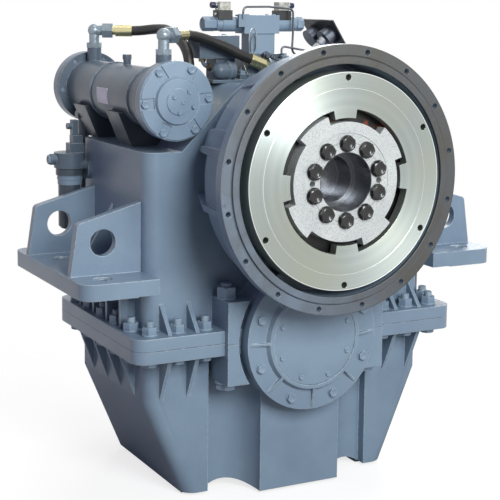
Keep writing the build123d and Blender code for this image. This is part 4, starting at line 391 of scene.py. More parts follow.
hub_iron = Finish("speckled_hub_casting", (0.76, 0.77, 0.77), 0.25, 0.5)
cells = hub_iron.add("ShaderNodeTexVoronoi", {"Vector": hub_iron.place, "Scale": 300.0})
pores = hub_iron.spread(cells.outputs["Distance"], 0.17, 0.36)
pale = hub_iron.patches(linear(0.73, 0.745, 0.75), linear(0.77, 0.785, 0.785), 12.0)
speckled = hub_iron.blend(pores, linear(0.47, 0.48, 0.50), pale)
hub_radius = turning_radius(hub_iron)
from_register = hub_iron.math("ABSOLUTE", hub_iron.math("SUBTRACT", hub_radius, REGISTER_RADIUS))
register = hub_iron.math("MULTIPLY", hub_iron.math("LESS_THAN", from_register, REGISTER_HALF_WIDTH), 0.7)
speckled = hub_iron.blend(register, speckled, linear(0.36, 0.37, 0.38))
in_bore = hub_iron.math("LESS_THAN", hub_radius, BORE_RADIUS)
hub_iron.set("Base Color", hub_iron.blend(in_bore, speckled, linear(0.44, 0.45, 0.47)))
hub_iron.set("Metallic", hub_iron.spread(in_bore, 0.0, 1.0, 0.25, 1.0))
hub_iron.set("Roughness", hub_iron.spread(in_bore, 0.0, 1.0, 0.50, 0.24))
skin = hub_iron.grain(520.0, 4.0, 0.6)
hub_iron.set("Normal", hub_iron.bump(skin, 0.00030, hub_iron.soft_edges(0.0016)))
hub_casting = hub_iron.material
print("hub bore bright inside", BORE_RADIUS, "m")

# %% [markdown]
# Small metal parts come in many finishes: black oxide on the hub's high strength bolts,
# zinc on small unpainted ones, yellow plating on the hose ends, and old brass. Inner
# gears and shafts are ground and wet with oil. One function makes them all, from a
# colour with faint mottling, a roughness that varies in patches, and a fine grain.

# %% Small metal finishes
def metal(name, colour, roughness, metallic=1.0, grain=300.0, depth=0.00003, mottle=0.90, patchy=0.08):
    """A small metal part. Mottle darkens its patches, patchy varies its gloss."""
    made = Finish(name, colour, metallic, roughness)
    made.set("Base Color", made.patches(shaded(colour, mottle), linear(*colour), 35.0, 4.0))
    made.set("Roughness", made.spread(made.grain(80.0), 0.3, 0.7, roughness - patchy, roughness + patchy))
    made.set("Normal", made.bump(made.grain(grain), depth, made.soft_edges(0.0008)))
    return made


oiled_black = metal("black_oxide_steel", (0.045, 0.045, 0.05), 0.26, metallic=0.3)
oiled_black.give("Coat Weight", 0.6)
oiled_black.give("Coat Roughness", 0.06)
black_oxide = oiled_black.material
plated = metal("plated_and_sprayed_fitting", (0.58, 0.635, 0.675), 0.30, metallic=0.45, mottle=0.88).material
zinc = metal("zinc_plated_steel", (0.70, 0.71, 0.70), 0.34).material
ground_steel = metal("ground_oiled_steel", (0.62, 0.63, 0.64), 0.24).material
yellow_plate = metal("yellow_plated_fitting", (0.80, 0.77, 0.60), 0.27, depth=0.000003, mottle=0.98,
                     patchy=0.01).material
can_blue = metal("gauge_can_steel", (0.36, 0.38, 0.42), 0.34).material
old_brass = metal("old_brass", (0.46, 0.41, 0.33), 0.34, depth=0.00001, patchy=0.03).material
panel_black = metal("panel_black", (0.085, 0.09, 0.12), 0.42, metallic=0.0).material
bright_nuts = metal("bright_plated_nuts", (0.86, 0.87, 0.88), 0.24, metallic=0.8, depth=0.00001).material
spot_steel = metal("spot_faced_steel", (0.78, 0.79, 0.80), 0.30).material
plate_metal = metal("plate_aluminium", (0.74, 0.73, 0.82), 0.45, metallic=0.3, grain=700.0).material
print("small metal finishes ready")

# %% [markdown]
# The thin pipes were fitted before the gearbox was sprayed, so the ends near the valve
# and near the roof are painted while the middle stays bare steel. Two boxes in space,
# each the product of two comparisons, say where the paint reaches.

# %% Thin pipes with painted ends
VALVE_SIDE_X, VALVE_TOP_Z = -0.0492, 0.4243
ROOF_SIDE_X, ROOF_TOP_Z = 0.1050, 0.3005

thin_pipe = Finish("pipe_with_painted_ends", (0.40, 0.41, 0.44), 1.0, 0.36)
pipe_x, pipe_z = thin_pipe.along("X"), thin_pipe.along("Z")
on_valve = thin_pipe.math("MULTIPLY", thin_pipe.math("LESS_THAN", pipe_x, VALVE_SIDE_X),
                          thin_pipe.math("LESS_THAN", pipe_z, VALVE_TOP_Z))
on_roof = thin_pipe.math("MULTIPLY", thin_pipe.math("GREATER_THAN", pipe_x, ROOF_SIDE_X),
                         thin_pipe.math("LESS_THAN", pipe_z, ROOF_TOP_Z))
is_painted = thin_pipe.math("MAXIMUM", on_valve, on_roof)
bare_pipe = thin_pipe.patches(linear(0.33, 0.34, 0.36), linear(0.40, 0.41, 0.44), 35.0, 4.0)
thin_pipe.set("Base Color", thin_pipe.blend(is_painted, bare_pipe, linear(0.47, 0.55, 0.62)))
thin_pipe.set("Metallic", thin_pipe.math("SUBTRACT", 1.0, is_painted))
thin_pipe.set("Roughness", thin_pipe.spread(thin_pipe.grain(80.0), 0.3, 0.7, 0.30, 0.44))
thin_pipe.set("Normal", thin_pipe.bump(thin_pipe.grain(300.0), 0.00006, thin_pipe.soft_edges(0.0010)))
print("pipe ends painted below z =", ROOF_TOP_Z, "m on the roof")

# %% [markdown]
# Rubber hose is nearly black with a soft sheen and a faint wrapped-cloth grain. The
# clutch linings are sintered and brown, and the moulded coils are black. The dials'
# white and ink are plain too. None of them is metal, and they differ in colour, gloss
# and grain only, so one function serves.

# %% Rubber, mouldings and dial paint
def plain(name, colour, roughness, depth, grain=900.0):
    """A dull or glossy material that isn't metal, with lighter patches."""
    made = Finish(name, colour, 0.0, roughness)
    lighter = linear(*(part * 1.25 + 0.01 for part in colour))
    made.set("Base Color", made.patches(linear(*colour), lighter, 30.0, 4.0, 0.4, 0.7))
    made.set("Roughness", made.spread(made.grain(60.0), 0.3, 0.7, roughness - 0.06, roughness + 0.06))
    made.set("Normal", made.bump(made.grain(grain, 2.0), depth, made.soft_edges(0.0006)))
    return made.material


hose_rubber = plain("hose_rubber", (0.10, 0.10, 0.095), 0.42, 0.0002, grain=700.0)
lining = plain("clutch_lining", (0.34, 0.25, 0.18), 0.7, 0.0002)
black_moulding = plain("black_moulding", (0.09, 0.09, 0.10), 0.38, 0.00005)
needle_red = plain("needle_red", (0.78, 0.10, 0.07), 0.4, 0.00002)
gland_navy = plain("gland_cap_navy", (0.10, 0.13, 0.26), 0.35, 0.00004)
dial_white = plain("dial_white", (0.90, 0.90, 0.88), 0.5, 0.00001)
dial_ink = plain("dial_ink", (0.05, 0.05, 0.06), 0.5, 0.00001)
print("rubber and mouldings ready")

# %% [markdown]
# Behind the ring lies the coupling's rubber disc. Through the gaps above the hub shows
# red-brown primer where its black skin is rubbed away, so the primer is kept to the
# upper right of the axis and broken into patches.

# %% Coupling disc with bared primer
PRIMER_RIGHT_OF, PRIMER_ABOVE = -0.04, 0.10

disc = Finish("coupling_rubber_and_primer", (0.05, 0.05, 0.055), 0.0, 0.55)
bared = disc.math("MULTIPLY", disc.math("GREATER_THAN", disc.along("X"), PRIMER_RIGHT_OF),
                  disc.math("GREATER_THAN", disc.along("Z"), PRIMER_ABOVE))
primer = disc.math("MULTIPLY", bared, disc.spread(disc.grain(26.0, 2.0), 0.50, 0.60))
soot = disc.patches(linear(0.045, 0.045, 0.05), linear(0.085, 0.085, 0.09), 30.0, 4.0, 0.4, 0.7)
disc.set("Base Color", disc.blend(disc.math("MULTIPLY", primer, 0.85), soot, linear(0.50, 0.24, 0.14)))
disc.set("Normal", disc.bump(disc.grain(500.0, 2.0), 0.0002))
print("primer shows above z =", PRIMER_ABOVE, "m")

# %% [markdown]
# The gauge glasses and the plugs on the coils let light through. A low alpha keeps the
# dials readable behind their glass. The plugs are moulded from a thicker, milky
# plastic, so they are cloudy and pass less light.

# %% Clear plastic and glass
def clear(name, colour, roughness, alpha, passes=0.9, cloudy=1.0):
    """A clear material. Cloudy darkens its patches, passes is the light let through."""
    made = Finish(name, colour, 0.0, roughness)
    made.set("Base Color", made.patches(shaded(colour, cloudy), linear(*colour), 110.0, 3.0, 0.42, 0.58))
    made.set("Normal", made.bump(made.grain(120.0), 0.00003))
    made.give("Transmission Weight", passes)
    made.give("IOR", 1.45)
    made.give("Alpha", alpha)
    return made.material


gauge_glass = clear("gauge_glass", (0.96, 0.97, 0.96), 0.03, 0.16)
clear_plug = clear("clear_connector", (0.86, 0.86, 0.82), 0.22, 0.94, passes=0.45, cloudy=0.80)
print("finishes made:", len(bpy.data.materials))

# %% [markdown]
# The solid parts keep their own mesh. Their round faces are made of narrow flats, so
# neighbouring flats are shaded as one smooth surface. A weld joins their shared points
# for that, and a split keeps every edge sharper than 30 degrees crisp. Both are
# modifiers, so the mesh itself isn't touched.

# %% Smooth flats and crisp edges
CRISP_ANGLE = math.radians(30)
WELD_DISTANCE = 0.00002


def smooth_flats(part):
    """Shades narrow flats as one surface without touching the part's own mesh."""
    mesh = part.data
    if "custom_normal" in mesh.attributes:
        mesh.attributes.remove(mesh.attributes["custom_normal"])
    mesh.shade_smooth()
    weld = part.modifiers.new("weld", "WELD")
    weld.merge_threshold = WELD_DISTANCE
    split = part.modifiers.new("crisp_edges", "EDGE_SPLIT")
    split.split_angle = CRISP_ANGLE


print("edges stay crisp above", round(math.degrees(CRISP_ANGLE)), "degrees")

# %% [markdown]
# Each solid part now takes its finish. Castings, sheet and tubes share the enamel in four
# tones, two of them darkened as painted shade, and each other material lists the parts
# that are made of it.

# %% Give every part its finish
FINISHES = {
    casing.material: "upper_casing lower_casing",
    casting_paint: "mounting_feet output_front_cover output_cover_plate output_rear_cover shaft_covers "
                   "oil_pump_housing",
    smooth_paint: "cooler_caps valve_body cover_bolts casing_bolts casing_nuts valve_end_caps",
    painted_shade_enamel: "cooler_shell filter_head dipstick_tube relief_block valve_base",
    deep_painted_shade_enamel: "cooler_saddles filter_bowl",
    plated: "cooler_fittings",
    housing.material: "bell_housing",
    ring_steel: "drive_ring",
    shaft_steel: "input_shaft output_shaft reverse_shaft",
    flange_steel: "output_flange",
    hub_casting: "hub_spider",
    black_oxide: "hub_bolts",
    zinc: "dipstick",
    thin_pipe.material: "steel_pipes",
    yellow_plate: "hose_ferrules",
    hose_rubber: "hoses shaft_seals",
    disc.material: "coupling_rubber",
    lining: "ahead_friction_plates astern_friction_plates",
    black_moulding: "solenoid_coils",
    can_blue: "gauge_cans",
    panel_black: "gauge_panel",
    clear_plug: "coil_connectors",
    gauge_glass: "gauge_glasses",
    needle_red: "pressure_needle temperature_needle",
    ground_steel: "bearing_outer_rings input_inner_rings ahead_clutch_drum ahead_steel_plates "
                  "reverse_inner_rings astern_clutch_drum astern_steel_plates ahead_pinion astern_pinion "
                  "output_gear output_inner_rings pump_idler_gear ahead_piston astern_piston valve_spool",
}

finished = 0
for material, names in FINISHES.items():
    for name in names.split():
        part = nodes[name]
        part.data.materials.clear()
        part.data.materials.append(material)
        smooth_flats(part)
        finished += 1
print("parts finished:", finished, "of", len(nodes))

# %% [markdown]
# Every piece that is made from here on ends the same way. Its mesh gets one finish and
# smooth shading with crisp edges, and it rides with a body of the gearbox, so that it
# moves when that body does.

# %% Pieces that ride
def riding_piece(name, mesh, material, body, corner=30.0):
    """Puts a mesh into the scene with its finish. It moves with a body of the gearbox."""
    mesh.materials.clear()
    mesh.materials.append(material)
    mesh.shade_smooth()
    made = bpy.data.objects.new(name, mesh)
    bpy.context.scene.collection.objects.link(made)
    split = made.modifiers.new("crisp_edges", "EDGE_SPLIT")
    split.split_angle = math.radians(corner)
    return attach(made, body)


# %% [markdown]
# A turned shape is a stack of circles. Its profile is a list of radii and heights, read
# from its foot to its top, as on a lathe drawing.

# %% Circles of points
SEGMENTS = 48


def circle(radius, height, count=24):
    return [(radius * math.cos(math.tau * k / count), radius * math.sin(math.tau * k / count), height)
            for k in range(count)]


def round_rings(profile, count=24):
    """Rings for a turned piece, from its radii and heights."""
    return [circle(radius, height, count) for radius, height in profile]


print("points to a fine circle:", SEGMENTS)

# %% [markdown]
# The solid model has plain hexagons for its fasteners. Real heads and nuts are chamfered,
# which cuts a curved arc into each flat, sit on washers, and end in a thread. Each solid
# of a fastener group is read back from the frame, so every detailed one has the size,
# place and turn of the plain one. It is made as rings of points round its own axis.

# %% Rings of points
class Rings:
    """Points and faces of a piece that is built up ring by ring."""

    def __init__(self):
        self.points = []
        self.faces = []

    def add(self, rings, place, start_cap=True, end_cap=True):
        """Joins rings of equally many points, and closes the ends unless told not to."""
        base = len(self.points)
        count = len(rings[0])
        for ring in rings:
            self.points += [place @ Vector(point) for point in ring]
        for low in range(base, base + (len(rings) - 1) * count, count):
            for step in range(count):
                after = (step + 1) % count
                self.faces.append((low + step, low + after, low + count + after, low + count + step))
        last = base + (len(rings) - 1) * count
        if start_cap:
            self.faces.append(tuple(reversed(range(base, base + count))))
        if end_cap:
            self.faces.append(tuple(range(last, last + count)))

    def thread(self, radius, low, high, pitch, place, count=24):
        """A real helix: a crest and a root track climb side by side."""
        base = len(self.points)
        total = int((high - low) / pitch * count)
        for number in range(total + 1):
            angle = math.tau * number / count
            for share, reach in ((0.0, radius), (0.5, radius - 0.55 * pitch)):
                rise = min(high, low + pitch * (number / count + share))
                self.points.append(place @ Vector((reach * math.cos(angle), reach * math.sin(angle), rise)))
        for number in range(total):
            crest, root = base + 2 * number, base + 2 * number + 1
            self.faces.append((crest, crest + 2, root + 2, root))
            if number + count < total:
                above = crest + 2 * count
                self.faces.append((root, root + 2, above + 2, above))
        tip = radius - 0.5 * pitch
        self.add([circle(tip, low), circle(tip, high - 0.2 * pitch), circle(tip - 0.3 * pitch, high)], place)

    def piece(self, name, material, body):
        mesh = bpy.data.meshes.new(name)
        mesh.from_pydata([tuple(point) for point in self.points], [], self.faces)
        return riding_piece(name, mesh, material, body)


print("rings of points ready")

# %% [markdown]
# A hexagon head is a prism cut by a shallow cone. Along the rim the height falls by
# the tangent of 30 degrees for each step outward, so the corners end lower than the
# middle of the flats, and the cone leaves its curved arcs by itself.

# %% Hexagons with a chamfer
CHAMFER_SLOPE = math.tan(math.radians(30))
CHAMFER_START = 0.475


def hexagon(flats, height, cone_top=None):
    """One ring of a hexagon. With cone_top, it follows the chamfer's cone."""
    ring = []
    for k in range(SEGMENTS):
        angle = math.tau * k / SEGMENTS
        reach = flats / 2 / math.cos((angle + math.pi / 6) % (math.pi / 3) - math.pi / 6)
        rise = height if cone_top is None else cone_top - (reach - CHAMFER_START * flats) * CHAMFER_SLOPE
        ring.append((reach * math.cos(angle), reach * math.sin(angle), rise))
    return ring


def chamfered_sides(flats, low, high):
    """The rings of a hexagon from its foot up to the start of its flat top."""
    return [hexagon(flats * 0.985, low), hexagon(flats, low + 0.02 * flats),
            hexagon(flats, high, cone_top=high), circle(CHAMFER_START * flats, high, SEGMENTS)]


print("chamfer starts at", CHAMFER_START, "of the flats")

# %% [markdown]
# A washer lies below the hexagon. Its rims are slightly rounded, so that they catch a
# thin highlight. A forged head has a shallow dish in its top, while a nut is open there
# and chamfered round its thread.

# %% Heads and nuts
def washer(rings, flats, wide, thick, low, place):
    """A disc with soft rims under a hexagon. Gives back the height of its top."""
    rings.add(round_rings([(wide - 0.02 * flats, low), (wide, low + 0.2 * thick), (wide, low + 0.8 * thick),
                           (wide - 0.03 * flats, low + thick)], SEGMENTS), place)
    return low + thick


def hex_head(rings, flats, low, high, place, on_washer=True):
    """A chamfered head with a shallow dished top."""
    if on_washer:
        low = washer(rings, flats, 0.62 * flats, 0.10 * flats, low, place)
    dished_top = [circle(0.36 * flats, high, SEGMENTS), circle(0.30 * flats, high - 0.03 * flats, SEGMENTS)]
    rings.add(chamfered_sides(flats, low, high) + dished_top, place)


def hex_nut(rings, flats, low, high, hole, place):
    """A nut on its washer, chamfered at its top and round its thread."""
    low = washer(rings, flats, 0.60 * flats, 0.09 * flats, low, place)
    chamfer = 0.05 * flats
    opening = [circle(hole + chamfer, high, SEGMENTS), circle(hole, high - chamfer, SEGMENTS),
               circle(hole, low, SEGMENTS)]
    rings.add(chamfered_sides(flats, low, high) + opening, place, end_cap=False)


print("heads and nuts ready")

# %% [markdown]
# To find each fastener again, the node's mesh is welded and walked from point to point,
# in the order of its points, so that every run finds the same. Every island is one
# solid. Its widest points are the hexagon's corners, and the next ones in are the
# shank, so the sizes and the turn can be read off directly.

# %% Find the fasteners of a node
def solids_of(node_name):
    """The points of each separate solid in a part."""
    work = bmesh.new()
    work.from_mesh(nodes[node_name].data)
    bmesh.ops.remove_doubles(work, verts=work.verts, dist=0.00001)
    work.verts.index_update()
    met = set()
    solids = []
    for start in work.verts:
        if start.index in met:
            continue
        met.add(start.index)
        reached = [start]
        for vertex in reached:
            for edge in vertex.link_edges:
                other = edge.other_vert(vertex)
                if other.index not in met:
                    met.add(other.index)
                    reached.append(other)
        solids.append([vertex.co.copy() for vertex in reached])
    work.free()
    return solids


def read_fastener(points, axis):
    """Flats, head, shank and place of a hexagon fastener that lies along an axis."""
    first, second = [k for k in range(3) if k != axis]
    middle = [(min(p[k] for p in points) + max(p[k] for p in points)) / 2 for k in (first, second)]
    reach = [math.hypot(p[first] - middle[0], p[second] - middle[1]) for p in points]
    widest = max(reach)
    corner = points[reach.index(widest)]
    head = [p[axis] for p, r in zip(points, reach) if r > 0.95 * widest]
    shank = max((r for r in reach if r < 0.8 * widest), default=0.0)
    ends = (min(p[axis] for p in points), max(p[axis] for p in points))
    outward = 1.0 if sum(ends) / 2 <= (min(head) + max(head)) / 2 else -1.0
    up = Vector([outward if k == axis else 0.0 for k in range(3)])
    to_corner = Vector([0.0 if k == axis else corner[k] - middle[0 if k == first else 1] for k in range(3)])
    side = (Matrix.Rotation(-math.pi / 6, 3, up) @ to_corner).normalized()
    place = Matrix((side, up.cross(side), up)).transposed().to_4x4()
    place.translation = Vector([0.0 if k == axis else middle[0 if k == first else 1] for k in range(3)])
    spans = sorted(outward * v for v in (min(head), max(head)))
    far = min(outward * v for v in ends)
    return {"flats": widest * math.sqrt(3), "low": spans[0], "high": spans[1], "shank": shank, "far": far,
            "place": place}


print("solids in the cover bolts:", len(solids_of("cover_bolts")))

# %% [markdown]
# The cover bolts and the joint's bolts were on the gearbox when it was sprayed, so they
# are painted. The hub's bolts went in later and are black. Each detailed group takes
# the place of its plain one. The joint's bolts reach through their nuts, so their last
# 34 mm carry a thread, which is a real helix.

# %% Bolts of the covers, the hub and the joint
CASING_THREAD = 0.034
CASING_PITCH = 0.003
ALONG_Y, ALONG_Z = 1, 2


def bolt_group(node_name, axis, material, thread=0.0):
    """Detailed bolts in place of a node's plain ones."""
    rings = Rings()
    found = [read_fastener(points, axis) for points in solids_of(node_name)]
    for bolt in found:
        hex_head(rings, bolt["flats"], bolt["low"], bolt["high"], bolt["place"])
        end = bolt["far"] + thread
        rings.add(round_rings([(bolt["shank"], end), (bolt["shank"], bolt["low"])]), bolt["place"])
        if thread:
            under = bolt["place"] @ Matrix.Rotation(math.pi, 4, "X")
            rings.thread(bolt["shank"], -end, -bolt["far"], CASING_PITCH, under)
    made = rings.piece(node_name + "_detailed", material, nodes[node_name]["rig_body"])
    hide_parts(node_name)
    sizes = sorted({round(bolt["flats"] / MM, 1) for bolt in found})
    print(node_name, len(found), "bolts, flats", sizes, "mm")


bolt_group("cover_bolts", ALONG_Y, smooth_paint)
bolt_group("hub_bolts", ALONG_Y, black_oxide)
bolt_group("casing_bolts", ALONG_Z, smooth_paint, CASING_THREAD)

# %% [markdown]
# The joint's nuts are open at the top, so that the bolt's threaded end is seen inside
# them. Their hole is as wide as the plain nut's own hole.

# %% Nuts on the casing joint
nuts = Rings()
found = [read_fastener(points, ALONG_Z) for points in solids_of("casing_nuts")]
for nut in found:
    hex_nut(nuts, nut["flats"], nut["low"], nut["high"], nut["shank"], nut["place"])
casing_nuts = nuts.piece("casing_nuts_detailed", smooth_paint, nodes["casing_nuts"]["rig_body"])
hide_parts("casing_nuts")
print("casing nuts:", len(found))

# %% [markdown]
# The other small pieces have no plain form to start from. They need a place on a face:
# a point in millimetres, and the direction that their own axis follows. All of them
# sit on the casing, so they move with its body.

# %% Places along an axis
FRONT, REAR, UP, DOWN = (0, -1, 0), (0, 1, 0), (0, 0, 1), (0, 0, -1)
body = nodes["cooler_shell"]["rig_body"]


def facing(x, y, z, direction):
    """A place on a face, in millimetres, whose own axis points in that direction."""
    turn = Vector(direction).to_track_quat("Z", "Y").to_matrix().to_4x4()
    return Matrix.Translation(Vector((x, y, z)) * MM) @ turn


print("small pieces ride with:", body)

# %% [markdown]
# A socket screw is a cylinder head with a rounded rim. Its socket goes down as a hexagon
# from the flat top, and the rings simply turn back inward and down for it.

# %% Socket screws
def socket_screw(rings, radius, height, place):
    """A cylinder head with a rounded rim and a hexagon socket."""
    rings.add([circle(radius, 0, SEGMENTS), circle(radius, 0.85 * height, SEGMENTS),
               circle(0.92 * radius, height, SEGMENTS), circle(0.62 * radius, height, SEGMENTS),
               hexagon(radius, height * 0.97), hexagon(radius, height * 0.4)], place)


print("socket screws ready")

# %% [markdown]
# The cooler's inspection plate has four small bolts and a plug, and the valve's foot
# stands on eight. They would be clumsy in the solid model, and here the same hexagon
# heads do, only smaller.

# %% Small bolts on the cooler and the valve foot
COOLER_FACE_Y = 225
FOOT_FACE_Z = 255

small = Rings()
for x, z in ((-337.2, 225.6), (-379.9, 212.0), (-324.3, 186.1), (-365.5, 171.0)):
    hex_head(small, 0.010, 0.0, 0.0045, facing(x, COOLER_FACE_Y, z, FRONT), on_washer=False)

socket_screw(small, 0.0052, 0.003, facing(-353.9, COOLER_FACE_Y, 197.6, FRONT))
for x in (-68, -8, 14, 80):
    for y in (447, 553):
        hex_head(small, 0.017, 0.0, 0.010, facing(x, y, FOOT_FACE_Z, UP))
small.piece("small_bolts", smooth_paint, body)
print("small bolts: 12, and a plug")

# %% [markdown]
# Socket screws hold the valve and the pressure block from above. The sprayed paint
# covers them too, so they are low bumps with a hexagon socket in the block's colour.

# %% Socket screws on the valve and the block
VALVE_TOP_Z_MM = 422
BLOCK_TOP_Z_MM = 364

screws = Rings()
for x in (-38, 48):
    for y in (480, 520):
        socket_screw(screws, 0.006, 0.0025, facing(x, y, VALVE_TOP_Z_MM, UP))
for x, y in ((-186, 466), (-186, 518), (-92, 518)):
    socket_screw(screws, 0.007, 0.003, facing(x, y, BLOCK_TOP_Z_MM, UP))
screws.piece("valve_screws", smooth_paint, body)
print("socket screws: 7")

# %% [markdown]
# At the back, the blind cover over the input shaft and the oil pump are held by small
# bolts. The pump's middle comes from its own joint in the frame, and its long cover has
# three bolts round each end, so that they follow the outline.

# %% Bolts of the rear covers
BLIND_FACE_Y, PUMP_FOOT_Y = 743, 760
BLIND_CIRCLE, PUMP_FOOT_CIRCLE, PUMP_COVER_CIRCLE = 109, 101, 39


def joint_place(name):
    """A point on a joint's axis, in millimetres."""
    return [v / MM for v in next(joint["pos_m"] for joint in frame["joints"] if joint["name"] == name)]


def bolt_ring(rings, middle, radius, y, flats, angles):
    """Small bolts on a rear face, on a circle, at the given angles in degrees."""
    for angle in angles:
        x = middle[0] + radius * math.cos(math.radians(angle))
        z = middle[1] + radius * math.sin(math.radians(angle))
        hex_head(rings, flats * MM, 0.0, 0.45 * flats * MM, facing(x, y, z, REAR))
    return len(angles)


pump_x, _, pump_z = joint_place("reverse_shaft_spin")
idler_z = joint_place("pump_idler_spin")[2]
pump_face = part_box("oil_pump_housing")[1].y / MM
rear_bolts = Rings()
placed = bolt_ring(rear_bolts, (0, 0), BLIND_CIRCLE, BLIND_FACE_Y, 16, range(0, 360, 45))
placed += bolt_ring(rear_bolts, (pump_x, pump_z), PUMP_FOOT_CIRCLE, PUMP_FOOT_Y, 16, (30, 90, 150, 208, 332))
placed += bolt_ring(rear_bolts, (pump_x, pump_z), PUMP_COVER_CIRCLE, pump_face, 13, (20, 90, 160))
placed += bolt_ring(rear_bolts, (pump_x, idler_z), PUMP_COVER_CIRCLE, pump_face, 13, (200, 270, 340))
rear_bolts.piece("rear_cover_bolts", smooth_paint, body)
print("rear bolts:", placed)

# %% [markdown]
# The cooler carries a thin data plate, bent round its shell. A flat sheet would cut
# into the round tube, so the plate's points are laid out by angle round the cooler's
# axis. A slightly higher field fills its middle, and four dome rivets hold its corners.

# %% Data plate on the cooler
COOLER_X, COOLER_Z, SHELL = -366.0, 200.0, 80.0
PLATE_START, PLATE_END = 530.0, 610.0
PLATE_LOW, PLATE_HIGH = 173.0, 217.0
PLATE_ROWS = 16


def on_shell(y, angle, lift):
    """A point on the cooler's shell. The angle is measured from the left side, upward."""
    reach = SHELL + lift
    return Vector((COOLER_X - reach * math.cos(angle), y, COOLER_Z + reach * math.sin(angle))) * MM


def bent_plate(y_from, y_to, low, high, thickness, columns=12):
    """A sheet that follows the shell between two angles."""
    steps = range(PLATE_ROWS + 1)
    sections = []
    for k in range(columns + 1):
        y = y_from + (y_to - y_from) * k / columns
        outside = [on_shell(y, low + (high - low) * j / PLATE_ROWS, thickness) for j in steps]
        inside = [on_shell(y, high - (high - low) * j / PLATE_ROWS, -0.2) for j in steps]
        sections.append(outside + inside)
    sheet = Rings()
    sheet.add(sections, Matrix.Identity(4))
    return sheet


low_angle = math.asin((PLATE_LOW - COOLER_Z) / SHELL)
high_angle = math.asin((PLATE_HIGH - COOLER_Z) / SHELL)
plate = bent_plate(PLATE_START, PLATE_END, low_angle, high_angle, 1.0)
plate.piece("data_plate", plate_metal, body)
field = bent_plate(PLATE_START + 6.0, PLATE_END - 6.0, low_angle + 0.07, high_angle - 0.07, 1.25)
field.piece("data_plate_field", plate_metal, body)
dome = [(0.0024, 0), (0.0022, 0.0008), (0.0014, 0.0015), (0.0004, 0.0018)]
rivets = Rings()
for y in (PLATE_START + 3.0, PLATE_END - 3.0):
    for angle in (low_angle + 0.04, high_angle - 0.04):
        point = on_shell(y, angle, 0.8)
        out = (point - Vector((COOLER_X * MM, point.y, COOLER_Z * MM))).normalized()
        place = Matrix.Translation(point) @ out.to_track_quat("Z", "Y").to_matrix().to_4x4()
        rivets.add(round_rings(dome), place)
rivets.piece("data_plate_rivets", zinc, body)
print("data plate:", PLATE_END - PLATE_START, "x", round(SHELL * (high_angle - low_angle)), "mm")

# %% [markdown]
# Each mounting foot has spot faces round its bolt holes. The cutter went through the
# paint, so a bright ring of steel shows round each hole. Paint could be masked there,
# but a thin ring of mesh on the floor of the spot face also catches its own highlight.

# %% Bright spot faces on the feet
FOOT_BOLT_X = 567
FOOT_BOLT_ROWS = (258, 389, 573, 704)
FOOT_TOP_Z = -258
HOLE_RADIUS, SPOT_RADIUS = 0.0135, 0.0246
SPOT_LOW, SPOT_HIGH = -0.0030, -0.0026

spots = Rings()
spot_profile = [(HOLE_RADIUS, SPOT_LOW), (SPOT_RADIUS, SPOT_LOW), (SPOT_RADIUS, SPOT_HIGH),
                (HOLE_RADIUS, SPOT_HIGH), (HOLE_RADIUS, SPOT_LOW)]
for side in (-1, 1):
    for y in FOOT_BOLT_ROWS:
        place = facing(side * FOOT_BOLT_X, y, FOOT_TOP_Z, UP)
        spots.add(round_rings(spot_profile, SEGMENTS), place, start_cap=False, end_cap=False)
spots.piece("foot_spot_faces", spot_steel, nodes["mounting_feet"]["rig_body"])
print("spot faces:", 2 * len(FOOT_BOLT_ROWS))

# %% [markdown]
# The filter's bowl is held by a stepped clamping ring below its head, and the plug in
# the head has a hexagon. Both are small turned or forged pieces on plain cylinders.

# %% Ring and plug of the oil filter
FILTER_X, FILTER_Y = -488.0, 722.0
FILTER_PLUG_X, FILTER_PLUG_Z = -547.0, 2.0

filter_small = Rings()
ring_profile = [(0.032, -0.0440), (0.0365, -0.0440), (0.0365, -0.0572), (0.0350, -0.0580), (0.0350, -0.0712),
                (0.0343, -0.0720), (0.032, -0.0720)]
filter_small.add(round_rings(ring_profile, SEGMENTS), facing(FILTER_X, FILTER_Y, 0, UP))
hex_head(filter_small, 0.024, 0.0, 0.007, facing(FILTER_PLUG_X, FILTER_Y, FILTER_PLUG_Z, (-1, 0, 0)),
         on_washer=False)
filter_small.piece("filter_ring_plug", smooth_paint, nodes["filter_head"]["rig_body"])
print("filter ring:", round(2 * ring_profile[1][0] / MM), "mm across")

# %% [markdown]
# A wire or a thin pipe is a tube swept along a line. A NURBS curve with a round bevel
# gives one with smooth bends, and its ends are closed by the curve's own caps.

# %% Bent tubes
def bent_tube(name, points, radius, material):
    """A tube of a given radius along points, all in millimetres."""
    curve = bpy.data.curves.new(name, "CURVE")
    curve.dimensions = "3D"
    curve.bevel_depth = radius * MM
    curve.bevel_resolution = 6
    curve.use_fill_caps = True
    line = curve.splines.new("NURBS")
    line.points.add(len(points) - 1)
    for point, place in zip(line.points, points):
        point.co = (*(v * MM for v in place), 1.0)
    line.order_u = 3
    line.use_endpoint_u = True
    line.resolution_u = 12
    rough = bpy.data.objects.new(name + "_line", curve)
    bpy.context.scene.collection.objects.link(rough)
    bpy.context.view_layer.update()
    mesh = bpy.data.meshes.new_from_object(rough.evaluated_get(bpy.context.evaluated_depsgraph_get()))
    bpy.data.objects.remove(rough)
    mesh.name = name
    return riding_piece(name, mesh, material, body, corner=40.0)


print("tubes ready")

# %% [markdown]
# Behind the oil filter only shade is seen. A return pipe from the cooler's underside to
# the back of the casing is a guess that would suit that place. Made in the darkest
# enamel, it is partly painted shade, and it keeps light from showing through there. One
# bend and two nuts are enough for it.

# %% Oil return pipe and painted shade behind the filter
RETURN_X, RETURN_Y, RETURN_RADIUS = -419.0, 790.0, 16.0
CASING_BACK = 735.0

